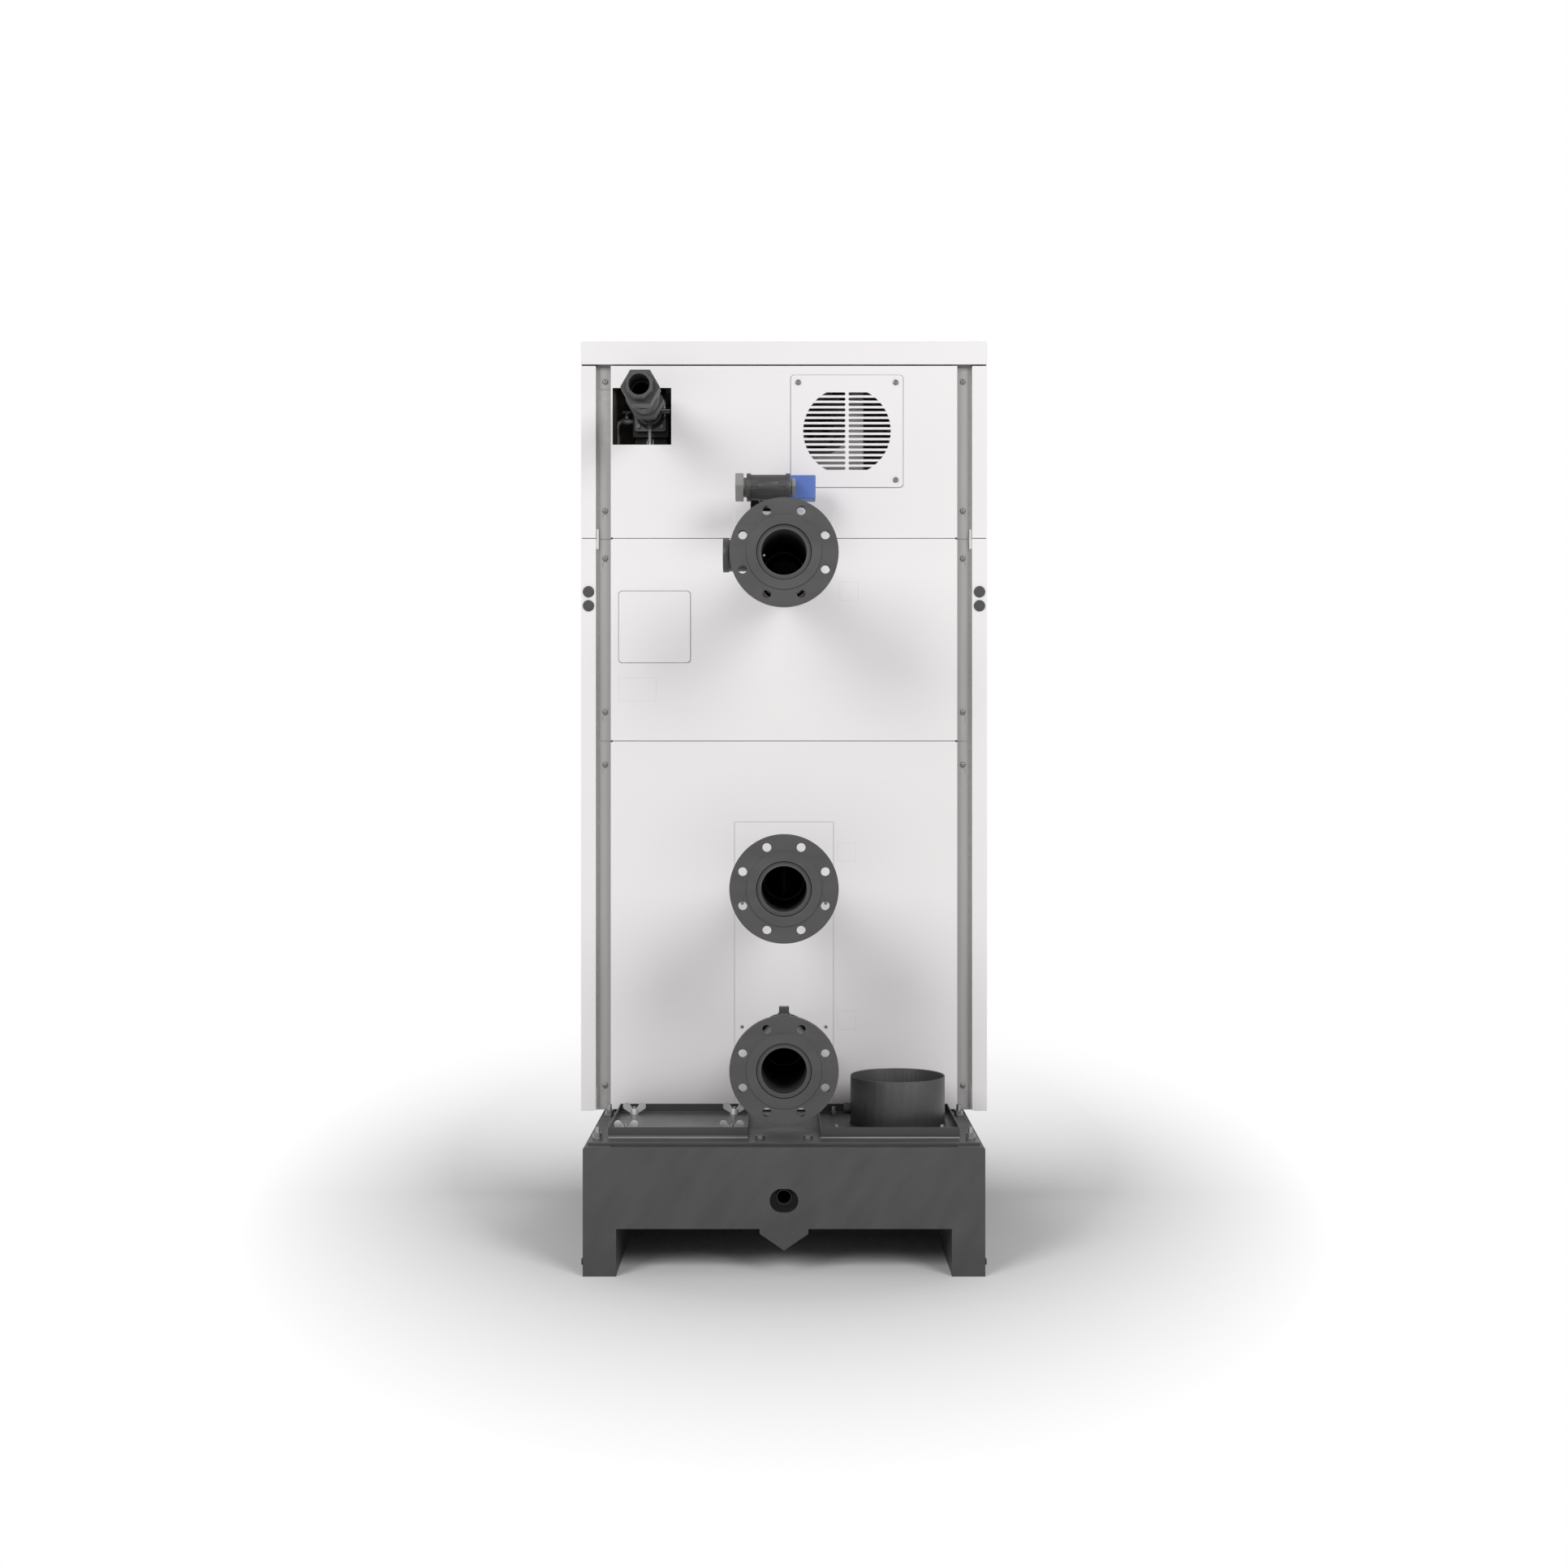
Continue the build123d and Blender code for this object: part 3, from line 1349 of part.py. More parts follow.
def gas_mixer():
    """A ring on the fan's inlet, fed by a straight pipe from the valve's side."""
    inlet_y = fan_y + fan_width / 2 + fan_inlet_length
    middle_y = inlet_y + mixer_length / 2
    mixer = along_y(Pos(fan_x, fan_z) * Circle(mixer_outer_radius), (inlet_y, inlet_y + mixer_length))
    pipe_x = (fan_x, gas_x - valve_width / 2)
    pipe_place = Pos(middle_y, fan_z)
    mixer += along_x(pipe_place * Circle(mixer_pipe_radius), pipe_x)
    mixer -= along_x(pipe_place * Circle(mixer_pipe_radius - mixer_pipe_wall), pipe_x)
    return mixer - along_y(
        Pos(fan_x, fan_z) * Circle(fan_inlet_radius), (inlet_y, inlet_y + mixer_length)
    )


def purge_cock():
    """The purge pipe from the valve's side down to the lid, with a small cock near its top."""
    valve_x = gas_x + valve_width / 2
    points = [(valve_x, purge_y, purge_z), (purge_x, purge_y, purge_z), (purge_x, purge_y, lid_top_z)]
    cock = bent_tube(points, purge_bend, purge_radius, purge_radius / 2)
    body_x = (cock_x - cock_half_length, cock_x + cock_half_length)
    cock += along_x(Pos(purge_y, purge_z) * Circle(cock_radius), body_x)
    neck_z = (purge_z, purge_z + cock_radius + cock_neck_height)
    cock += along_z(Pos(cock_x, purge_y) * Circle(cock_neck_radius), neck_z)
    sleeve_z = (purge_sleeve_z - purge_sleeve_length / 2, purge_sleeve_z + purge_sleeve_length / 2)
    cock += along_z(Pos(purge_x, purge_y) * Circle(purge_sleeve_radius), sleeve_z)
    cock -= along_z(Pos(purge_x, purge_y) * Circle(purge_radius / 2), sleeve_z)
    bore = Circle(cock_stem_radius + running_clearance)
    return cock - along_z(Pos(cock_x, purge_y) * bore, (neck_z[1] - cock_radius, neck_z[1]))


def purge_handle():
    """The T handle of the purge cock, on a stem in the cock's neck."""
    neck_top = purge_z + cock_radius + cock_neck_height
    base_z = neck_top + seat_gap
    place = Pos(cock_x, purge_y)
    stem_z = (neck_top - cock_radius + seat_gap, base_z)
    handle = along_z(place * Circle(cock_stem_radius), stem_z)
    boss_top = base_z + handle_boss_height
    handle += along_z(place * Circle(handle_boss_radius), (base_z, boss_top))
    bar = place * SlotOverall(handle_length, handle_width)
    return handle + along_z(bar, (boss_top, boss_top + handle_thickness))


def water_pipe(z):
    """One connection pipe, from the vessel's shell to just inside its flange."""
    step_y = flange_y - nozzle_depth
    pipe = along_y(Pos(0, z) * Circle(pipe_radius), (vessel_y, flange_y - pipe_end_inset))
    pipe -= along_y(Pos(0, z) * Circle(pipe_radius - pipe_wall), (step_y, flange_y))
    pipe -= along_y(Pos(0, z) * Circle(nozzle_inner_radius), (vessel_y, step_y))
    reach = (z - 2 * pipe_radius, z + 2 * pipe_radius)
    return pipe - along_z(Pos(0, vessel_y) * Circle(vessel_radius), reach)


def pipe_flanges():
    """Three flanges with a raised face, a weld recess in the bore and eight bolt holes each."""
    back_y = flange_y - raised_face - flange_thickness
    face_y = flange_y - raised_face
    flange = along_y(Circle(flange_radius), (back_y, face_y))
    flange += along_y(Circle(raised_face_radius), (face_y, flange_y))
    flange -= along_y(Circle(pipe_radius), (back_y, flange_y))
    flange -= along_y(Circle(flange_recess_radius), (back_y + flange_thickness * 0.6, flange_y))
    for index in range(bolt_count):
        turn = Rot(0, 0, 360 / bolt_count * (index + 0.5))
        hole = turn * Pos(bolt_circle_radius, 0) * Circle(bolt_hole_radius)
        flange -= along_y(hole, (back_y, face_y))
    return group([Pos(0, 0, z) * flange for z in (flow_z, upper_return_z, lower_return_z)])


def pipe_plugs():
    """The capped side socket of the flow pipe and the square-head plug of the lower return."""
    cap = along_x(Pos(cap_y, flow_z) * Circle(cap_body_radius), (0, cap_x - cap_rim))
    cap += along_x(Pos(cap_y, flow_z) * Circle(cap_radius), (cap_x - cap_rim, cap_x))
    reach = (cap_y - 2 * cap_radius, cap_y + 2 * cap_radius)
    cap -= along_y(Pos(0, flow_z) * Circle(pipe_radius), reach)
    place = Pos(0, plug_y)
    plug = along_z(place * Circle(plug_socket_radius), (lower_return_z, plug_socket_top_z))
    plug += along_z(place * Circle(plug_base_radius), (plug_socket_top_z, plug_base_top_z))
    plug += along_z(place * Rectangle(plug_head_side, plug_head_side), (plug_base_top_z, plug_head_top_z))
    reach = (plug_y - 2 * plug_socket_radius, plug_y + 2 * plug_socket_radius)
    plug -= along_y(Pos(0, lower_return_z) * Circle(pipe_radius), reach)
    return group([cap, plug])


def safety_tee():
    """A banded malleable-iron tee along X, with its branch towards the casing."""
    axis = Pos(tee_y, tee_z)
    tee = along_x(axis * Circle(tee_radius), tee_x)
    tee += along_x(axis * Circle(tee_band_radius), (tee_x[0], tee_x[0] + tee_band_width))
    tee += along_x(axis * Circle(tee_band_radius), (tee_x[1] - tee_band_width, tee_x[1]))
    branch = Pos(tee_branch_x, tee_z)
    end_y = tee_y - tee_branch_length
    tee += along_y(branch * Circle(tee_radius), (end_y, tee_y))
    tee += along_y(branch * Circle(tee_band_radius), (end_y, end_y + tee_band_width))
    lug_y = (tee_y, tee_y + tee_radius + (tee_band_radius - tee_radius) / 2)
    lug_z = (tee_z - 2, tee_z - 2 + tee_rib_height)
    left = tee_x[0] + tee_band_width
    right = tee_x[1] - tee_band_width
    tee += block((left, left + tee_rib_width), lug_y, lug_z)
    tee += block((right - tee_rib_width, right), lug_y, lug_z)
    tee -= along_x(axis * Circle(tee_bore_radius), tee_x)
    return tee - along_y(branch * Circle(tee_bore_radius), (end_y, tee_y))


def tee_fittings():
    """The hex plug and the bushing in the tee's ends, and the standpipe from its branch."""
    axis = Pos(tee_y, tee_z)
    plug = along_x(axis * hexagon(tee_plug_flats), tee_plug_x)
    plug += along_x(axis * Circle(tee_bore_radius), (tee_x[1] - 2 * tee_band_width, tee_x[1]))
    plug += along_x(axis * Circle(tee_neck_radius), (tee_x[1], tee_plug_x[0]))
    bushing = along_x(axis * hexagon(tee_bushing_flats), tee_bushing_x)
    bushing += along_x(axis * Circle(tee_neck_small_radius), (tee_bushing_x[1], tee_x[0]))
    bushing += along_x(axis * Circle(tee_bore_radius), (tee_x[0], tee_x[0] + 2 * tee_band_width))
    points = [
        (tee_branch_x, tee_y - tee_branch_length, tee_z),
        (tee_branch_x, standpipe_y, tee_z),
        (tee_branch_x, standpipe_y, vessel_top_z),
    ]
    inner = standpipe_radius - standpipe_wall
    return group([plug, bushing, bent_tube(points, standpipe_bend, standpipe_radius, inner)])


def flow_switch():
    """The switch housing on its stem, seated in the top of the flow pipe."""
    housing = block(flow_switch_x, flow_switch_y, flow_switch_z)
    housing = fillet(housing.edges(), flow_switch_edge)
    middle_y = sum(flow_switch_y) / 2
    place = Pos(switch_stem_x, middle_y)
    stem_z = (flow_z, flow_switch_z[0] + flow_switch_edge)
    switch = housing + along_z(place * Circle(switch_stem_radius), stem_z)
    hex_z = (flow_z + pipe_radius, flow_z + pipe_radius + switch_hex_height)
    switch += along_z(place * hexagon(switch_hex_flats), hex_z)
    reach = (middle_y - switch_hex_flats, middle_y + switch_hex_flats)
    return switch - along_y(Pos(0, flow_z) * Circle(pipe_radius), reach)


def all_parts():
    """Every node by name."""
    lower_sides = (side_bottom_z, side_seam_z - seam_gap / 2)
    upper_sides = (side_seam_z + seam_gap / 2, panel_top_z)
    parts = {
        "base_rail_left": base_rail(-1),
        "base_rail_right": base_rail(1),
        "base_rear_plate": base_rear_plate(),
        "base_front_plate": base_front_plate(),
        "sump_pan": sump_pan(),
        "condensate_outlet": condensate_outlet(),
        "sump_lid": sump_lid(),
        "base_fasteners": base_fasteners(),
        "cover_gaskets": cover_gaskets(),
        "inspection_cover": square_pan(pan_center_x),
        "flue_pan": flue_pan(),
        "flue_spigot": flue_spigot(),
        "side_panel_left_lower": side_panel(-1, lower_sides, True),
        "side_panel_right_lower": side_panel(1, lower_sides, True),
        "side_panel_left_upper": side_panel(-1, upper_sides, False),
        "side_panel_right_upper": side_panel(1, upper_sides, False),
        "back_panel_top": back_panel_top(),
        "back_panel_middle": back_panel_middle(),
        "back_panel_bottom": back_panel_bottom(),
        "flow_insert_plate": insert_plate((flow_z, flow_insert_top_z), [flow_z]),
        "return_insert_plate": insert_plate(
            (back_bottom_z, return_insert_top_z), [upper_return_z, lower_return_z]
        ),
        "grille_plate": grille_plate(),
        "panel_screws": panel_screws(),
        "cable_grommets": cable_grommets(),
        "top_cover": top_cover(),
        "casing_frame": casing_frame(),
        "control_fascia": control_fascia(),
        "front_door": front_door(),
        "hinge_pins": hinge_pins(),
        "door_lock": door_lock(),
        "display": display(),
        "selector_knob": selector_knob(),
        "power_switch": power_switch(),
        "reset_button": reset_button(),
        "pressure_vessel": pressure_vessel(),
        "smoke_tubes": smoke_tubes(),
        "insulation_jacket": insulation_jacket(),
        "burner": burner(),
        "mixture_duct": mixture_duct(),
        "fan_housing": fan_housing(),
        "fan_impeller": fan_impeller(),
        "fan_motor": fan_motor(),
        "gas_union": gas_union(),
        "gas_union_nut": gas_union_nut(),
        "gas_valve": gas_valve(),
        "gas_mixer": gas_mixer(),
        "purge_cock": purge_cock(),
        "purge_handle": purge_handle(),
        "flow_pipe": water_pipe(flow_z),
        "upper_return_pipe": water_pipe(upper_return_z),
        "lower_return_pipe": water_pipe(lower_return_z),
        "pipe_flanges": pipe_flanges(),
        "pipe_plugs": pipe_plugs(),
        "safety_tee": safety_tee(),
        "tee_fittings": tee_fittings(),
        "flow_switch": flow_switch(),
    }
    for index, (x, y) in enumerate(pan_stud_places(pan_center_x)):
        parts[f"wing_nut_{index + 1}"] = wing_nut(x, y)
    return parts


os.makedirs("parts", exist_ok=True)
for name, shape in all_parts().items():
    export_step(shape, f"parts/{name}.step")
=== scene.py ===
"""The looks of the boiler: finishes, small fittings, camera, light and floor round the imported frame.

Lengths are in metres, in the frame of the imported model: the back faces +Y and the floor is Z = 0.
"""

import json
from math import cos, pi, radians, sin

import bmesh
import bpy
from mathutils import Matrix, Vector


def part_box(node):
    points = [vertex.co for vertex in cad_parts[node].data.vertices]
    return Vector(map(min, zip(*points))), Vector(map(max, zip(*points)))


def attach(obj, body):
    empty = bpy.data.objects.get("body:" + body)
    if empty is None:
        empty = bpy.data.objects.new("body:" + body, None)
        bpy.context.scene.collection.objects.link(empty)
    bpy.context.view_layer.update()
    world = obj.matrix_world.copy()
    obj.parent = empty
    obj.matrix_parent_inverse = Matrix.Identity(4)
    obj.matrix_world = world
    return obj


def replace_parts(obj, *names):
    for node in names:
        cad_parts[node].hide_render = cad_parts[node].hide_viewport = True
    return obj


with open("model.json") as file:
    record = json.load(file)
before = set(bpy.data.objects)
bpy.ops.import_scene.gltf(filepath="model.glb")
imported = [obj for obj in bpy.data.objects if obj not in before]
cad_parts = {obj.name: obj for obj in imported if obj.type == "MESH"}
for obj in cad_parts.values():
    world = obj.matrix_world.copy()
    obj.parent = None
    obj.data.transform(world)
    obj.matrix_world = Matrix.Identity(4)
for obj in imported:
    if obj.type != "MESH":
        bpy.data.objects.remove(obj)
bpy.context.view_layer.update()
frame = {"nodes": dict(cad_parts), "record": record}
nodes = frame["nodes"]

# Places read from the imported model
rear_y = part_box("back_panel_top")[1].y
recess_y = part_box("panel_screws")[0].y + 0.001
base_side_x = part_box("base_rear_plate")[1].x
cover_rim_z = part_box("inspection_cover")[0].z + 0.003
bay_floor_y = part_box("display")[1].y
grille_low, grille_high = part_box("grille_plate")
insert_low, insert_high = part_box("return_insert_plate")
gas_x = sum(corner.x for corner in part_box("gas_union_nut")) / 2
gas_z = sum(corner.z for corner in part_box("gas_union_nut")) / 2
pipe_heights = [sum(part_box(name)[i].z for i in (0, 1)) / 2
                for name in ("flow_pipe", "upper_return_pipe", "lower_return_pipe")]

# Screw heads, in shares of their own radius or height
screw_turn = radians(37)
wall_share = 0.35
dome_steps = 6
washer_share = 0.2
cap_share = 0.7
edge_share = 0.06
socket_share = 0.37
socket_floor = 0.5
cross_length = 1.15
cross_width = 0.3
cross_depth = 0.65
cross_taper = 0.4
cutter_top = 1.5

# Lifting bolts of the base; the washer is in shares of the flats and the height
base_bolt_place = (0.590, 0.0235)
base_bolt_flats = 0.0130
base_bolt_height = 0.0055
bolt_washer_radius = 0.62
bolt_washer_height = 0.12
bolt_chamfer = 0.0008
bolt_crown = 0.88

# Small fittings seen through the gas window
valve_box_y = 0.134
valve_plate_y = 0.1492
plate_face_y = 0.161
plate_screw_offset = (0.0265, 0.0260)
plate_screw_radius = 0.0053
plate_screw_height = 0.0062
tube_y = 0.174
tube_top = 1.7915
tube_low = 1.7265
tube_bend = 0.014
tube_radius = 0.0037
tube_steps = 8
pin_places = (0.3098, 0.2963)
pin_radius = 0.0022
pin_low = 1.705
pin_height = 0.068
pin_edge_share = 0.4

# Test point: its clip, the strap on it and the nipple, measured from the point's own place
test_point = (0.2675, 0.176, 1.825)
clip_x = (-0.012, 0.011)
clip_y = 0.011
clip_z = 0.004
clip_radius = 0.0015
clip_edge = 0.0004
strap_x = (-0.0125, 0.011)
strap_y = (-0.007, 0.0115)
strap_z = (0.004, 0.0052)
strap_radius = 0.0005
nipple_y = 0.004
nipple_low = -0.010
nipple_radius = 0.0022
nipple_nut_radius = 0.0034
nipple_nut_z = (0.006, 0.012)
nipple_neck_z = (0.0135, 0.021)
nipple_tip = [(0.0028, 0.022), (0.0014, 0.024)]

# Dark brown lining behind the gas window, and painted shade round the post beside it
lining_x = (0.3415, 0.401)
lining_y = 0.110
lining_z = (1.700, 1.900)
lining_thickness = 0.004
lining_radius = 0.003
lining_hole = (0.3759, 1.8519)
lining_hole_half = 0.002
lining_corner_radius = 0.0004
post_shade_thickness = 0.001
post_shade_x = (0.3755, 0.3832)
post_shade_z = (1.735, 1.875)
post_y = (0.1725, 0.2125)

# Round the grille and the seams
shroud_x = (-0.1455, -0.012)
shroud_z = (1.664, 1.793)
shroud_y = (0.1695, 0.1725)
shroud_radius = 0.002
shroud_hole = (-0.0801, 1.7926)
shroud_hole_radius = 0.064
shroud_cutter = 0.02
relief_x = 0.3824
relief_radius = 0.0021
relief_crown = (0.8, 0.0004)
relief_height = 0.0005

# Inside the connection pipes
bore_radius = 0.046
scale_y = (0.250, 0.619)
scale_depths = (0.0001, 0.0004)
sensor_y = 0.565
sensor_radius = 0.0040
sensor_reach = 0.0080
sensor_edge = 0.0015
sensor_crown = 0.7

# Plates and films on the back
raised_plate_x = (0.208, 0.366)
raised_plate_z = (1.260, 1.418)
raised_plate_height = 0.0016
raised_plate_edge = 0.0006
plate_radius = 0.008
# Painted shadow lines: dark bands round the plates on the back, for the shade at their edges
shadow_line_width = 0.0010
shadow_line_lap = 0.003
shadow_line_height = 0.0012
film_height = 0.0003
film_radius = 0.0015
film_rim_width = 0.0008
films = [
    ((0.284, 0.366), (1.176, 1.226)),
    ((-0.164, -0.124), (1.398, 1.438)),
    ((-0.159, -0.119), (0.820, 0.860)),
    ((-0.159, -0.119), (0.447, 0.487)),
]

# Front controls
frame_reach = 0.005
frame_edge = 0.0003
glass_lap = 0.0004
display_frame = 0.0042
switch_gap = 0.0012
switch_frame = 0.0022
screen_inset = 0.012
screen_radius = 0.002
mark_height = 0.0003
pointer_half = 0.0009
pointer_z = (0.008, 0.020)
pointer_radius = 0.0004
scale_radius = 0.029
scale_tick = 0.004
scale_tick_half = 0.0004
scale_marks = 11
scale_reach = radians(150)
switch_mark_gap = 0.009
bar_half = 0.0005
bar_z = (0.006, 0.012)
ring_radius = 0.0026
ring_drop = 0.009

# Welds, and the painted highlight on the flue's rim
weld_radius = 0.0035
weld_ripple = 0.0030
weld_ripple_share = 0.14
inner_weld_share = 0.5
inner_weld_inset = 0.0005
outer_weld_reach = 0.001
flue_weld_size = 0.0016
flue_weld_reach = 0.0005
rim_highlight_size = 0.0010

# Colours as they are seen, in linear light
panel_white = (0.80, 0.775, 0.780)
strip_grey = (0.36, 0.345, 0.345)
lining_brown = (0.022, 0.018, 0.013)
foil_brown = (0.16, 0.145, 0.125)
base_grey = (0.047, 0.0465, 0.048)
pipe_grey = (0.046, 0.0455, 0.0475)
steel_grey = (0.085, 0.084, 0.087)
zinc_grey = (0.42, 0.42, 0.41)
cast_grey = (0.10, 0.10, 0.105)
enamel_black = (0.012, 0.012, 0.013)

# Camera, light and floor
camera_place = (0, 4.421, 0.9908)
camera_sensor = 36
camera_lens = 43.38
camera_reach = 100
world_level = 0.29
light_place = (4.0, 6.5, 4.6)
light_target = (0, 0, 0.9)
light_size = 3.2
light_power = 232
floor_radius = 9
floor_white = (0.95, 0.95, 0.95)
fade_middle_y = -1.1
fade_reach = (1.41, 2.9)
fade_ring = (0.64, 0.97)
far_fade_y = -0.15
far_fade_share = 0.353


# Places and spans


def both(half):
    """The pair of minus and plus one half-size."""
    return (-half, half)


def wider(span, width):
    """A pair of places moved apart."""
    return (span[0] - width, span[1] + width)


def shifted(span, by):
    """A pair of places moved along."""
    return (span[0] + by, span[1] + by)


# Material building blocks


def new_material(name, color, roughness, metallic=0.0):
    """A Principled material with one plain colour, to which detail is added."""
    material = bpy.data.materials.new(name)
    material.use_nodes = True
    shader = shader_of(material)
    shader.inputs["Base Color"].default_value = (*color, 1)
    shader.inputs["Roughness"].default_value = roughness
    shader.inputs["Metallic"].default_value = metallic
    return material


def shader_of(material):
    """The material's Principled shader node."""
    return material.node_tree.nodes["Principled BSDF"]


def object_place(material):
    """The place of each point in the object's own coordinates."""
    return material.node_tree.nodes.new("ShaderNodeTexCoord").outputs["Object"]


def noise(material, scale, detail=3.0, stretch=(1, 1, 1), turn=0.0):
    """A noise value on the object's own places, drawn out along turned axes by the given factors."""
    tree = material.node_tree
    mapping = tree.nodes.new("ShaderNodeMapping")
    mapping.vector_type = "TEXTURE"
    mapping.inputs["Rotation"].default_value = (0, turn, 0)
    mapping.inputs["Scale"].default_value = stretch
    texture = tree.nodes.new("ShaderNodeTexNoise")
    texture.inputs["Scale"].default_value = scale
    texture.inputs["Detail"].default_value = detail
    tree.links.new(object_place(material), mapping.inputs["Vector"])
    tree.links.new(mapping.outputs["Vector"], texture.inputs["Vector"])
    return texture.outputs["Fac"]


def along(material, axis):
    """The object's own place along X, Y or Z."""
    tree = material.node_tree
    split = tree.nodes.new("ShaderNodeSeparateXYZ")
    tree.links.new(object_place(material), split.inputs["Vector"])
    return split.outputs[axis]


def ranged(material, value, low, high, start=0.3, end=0.7):
    """A value mapped from start..end to low..high."""
    tree = material.node_tree
    mapped = tree.nodes.new("ShaderNodeMapRange")
    mapped.inputs["From Min"].default_value = start
    mapped.inputs["From Max"].default_value = end
    mapped.inputs["To Min"].default_value = low
    mapped.inputs["To Max"].default_value = high
    tree.links.new(value, mapped.inputs["Value"])
    return mapped.outputs["Result"]


def past(material, axis, place, blend=0.0002):
    """Nought up to a place along an axis and one past it, blended over a short way."""
    return ranged(material, along(material, axis), 0, 1, place - blend, place)


def vary_roughness(material, value, low, high):
    """Lets a noise value move the roughness between two limits."""
    socket = shader_of(material).inputs["Roughness"]
    material.node_tree.links.new(ranged(material, value, low, high), socket)


def mix(material, factor, first, second):
    """A colour between two others; each is a plain colour or another node's output."""
    tree = material.node_tree
    node = tree.nodes.new("ShaderNodeMix")
    node.data_type = "RGBA"
    tree.links.new(factor, node.inputs["Factor"])
    for socket, color in (("A", first), ("B", second)):
        entry = next(s for s in node.inputs if s.name == socket and s.type == "RGBA")
        if isinstance(color, tuple):
            entry.default_value = (*color, 1)
        else:
            tree.links.new(color, entry)
    return next(s for s in node.outputs if s.type == "RGBA")


def paint(material, color):
    """Feeds a worked-out colour to the shader."""
    material.node_tree.links.new(color, shader_of(material).inputs["Base Color"])


def shade(color, factor):
    """A colour made darker or lighter."""
    return tuple(channel * factor for channel in color)


def clouded(material, color, value, spread):
    """A colour that a noise value makes darker and lighter by a spread."""
    return mix(material, ranged(material, value, 0, 1), shade(color, 1 - spread), shade(color, 1 + spread))


def bump(material, value, depth, strength=1.0):
    """Adds a bump of a real depth."""
    tree = material.node_tree
    node = tree.nodes.new("ShaderNodeBump")
    node.inputs["Distance"].default_value = depth
    node.inputs["Strength"].default_value = strength
    tree.links.new(value, node.inputs["Height"])
    tree.links.new(node.outputs["Normal"], shader_of(material).inputs["Normal"])


# Finishes


def casing_paint(name, recessed=None):
    """Satin white powder coat with a fine orange peel; deeper than a Y place, in the recessed strips, it
    is flat grey with faint streaks.
    """
    material = new_material(name, panel_white, roughness=0.42)
    color = clouded(material, panel_white, noise(material, scale=2.2, detail=2), spread=0.008)
    if recessed is not None:
        # Flat grey, faintly streaked, deeper than the given Y place
        streaks = noise(material, scale=30, stretch=(1, 1, 6))
        sheet = clouded(material, strip_grey, streaks, spread=0.03)
        color = mix(material, past(material, "Y", recessed), sheet, color)
    paint(material, color)
    vary_roughness(material, noise(material, scale=9), 0.38, 0.48)
    bump(material, noise(material, scale=420, detail=2), depth=0.00002, strength=0.5)
    return material


def dark_paint(name, color, roughness, turn=0.0):
    """Fine-textured dark powder coat, a little uneven as sprayed, in faint slanting bands."""
    material = new_material(name, color, roughness)
    bands = noise(material, scale=30, stretch=(3, 1, 1), turn=turn)
    fine = noise(material, scale=260, detail=2)
    cloudy = clouded(material, color, bands, spread=0.15)
    paint(material, mix(material, ranged(material, fine, 0, 0.2), cloudy, shade(color, 1.3)))
    vary_roughness(material, bands, roughness - 0.05, roughness + 0.06)
    bump(material, fine, depth=0.00003, strength=0.6)
    return material


def brushed_steel(name, color, direction, roughness, metallic=0.6, dark_reflection_above=None):
    """Dark rolled stainless sheet with brush lines along an axis; above a Z place it is darker, a painted
    dark reflection.
    """
    material = new_material(name, color, roughness, metallic)
    stretch = tuple(40 if axis == direction else 1 for axis in range(3))
    lines = noise(material, scale=900, detail=4, stretch=stretch)
    cloud = noise(material, scale=12, detail=4)
    lined = clouded(material, color, lines, spread=0.07)
    sheet = mix(material, ranged(material, cloud, 0, 0.4), lined, shade(color, 0.8))
    # Painted dark reflection: darker above the given Z place
    if dark_reflection_above is not None:
        sheet = mix(material, past(material, "Z", dark_reflection_above, blend=0.0005), sheet, shade(color, 0.38))
    paint(material, sheet)
    vary_roughness(material, cloud, roughness - 0.06, roughness + 0.1)
    bump(material, lines, depth=0.00001, strength=0.2)
    return material


def plated_steel(name, color, roughness, metallic):
    """Zinc plating with faint clouding."""
    material = new_material(name, color, roughness, metallic)
    cloud = noise(material, scale=90)
    paint(material, clouded(material, color, cloud, spread=0.08))
    vary_roughness(material, cloud, roughness - 0.05, roughness + 0.08)
    bump(material, noise(material, scale=900, detail=2), depth=0.00001, strength=0.3)
    return material


def cast_metal(name, color, metallic, roughness, grain=380, black_before=None):
    """Cast metal with a grained skin; what lies before a Y place is enamelled black."""
    material = new_material(name, color, roughness, metallic)
    cloud = noise(material, scale=30)
    skin = clouded(material, color, cloud, spread=0.14)
    if black_before is not None:
        skin = mix(material, past(material, "Y", black_before), enamel_black, skin)
    paint(material, skin)
    vary_roughness(material, cloud, roughness - 0.06, roughness + 0.08)
    bump(material, noise(material, scale=grain, detail=4), depth=0.00012, strength=0.5)
    return material


def moulded(name, color, roughness, grain=700):
    """Moulded plastic or rubber with a fine spark-eroded grain."""
    material = new_material(name, color, roughness)
    fine = noise(material, scale=grain, detail=2)
    paint(material, clouded(material, color, fine, spread=0.07))
    vary_roughness(material, noise(material, scale=40, detail=2), roughness - 0.04, roughness + 0.05)
    bump(material, fine, depth=0.00003, strength=0.4)
    return material


def crumpled_foil():
    """The dull, crumpled foil face of the insulation."""
    material = new_material("insulation", foil_brown, roughness=0.55, metallic=0.4)
    crumple = noise(material, scale=26, detail=5)
    paint(material, clouded(material, foil_brown, crumple, spread=0.25))
    bump(material, crumple, depth=0.003, strength=0.6)
    return material


def smoked_glass():
    """Dark display glass with the faintest streaks of wiping."""
    material = new_material("display_glass", (0.006, 0.007, 0.009), roughness=0.08)
    vary_roughness(material, noise(material, scale=30, stretch=(1, 1, 4)), 0.05, 0.12)
    return material


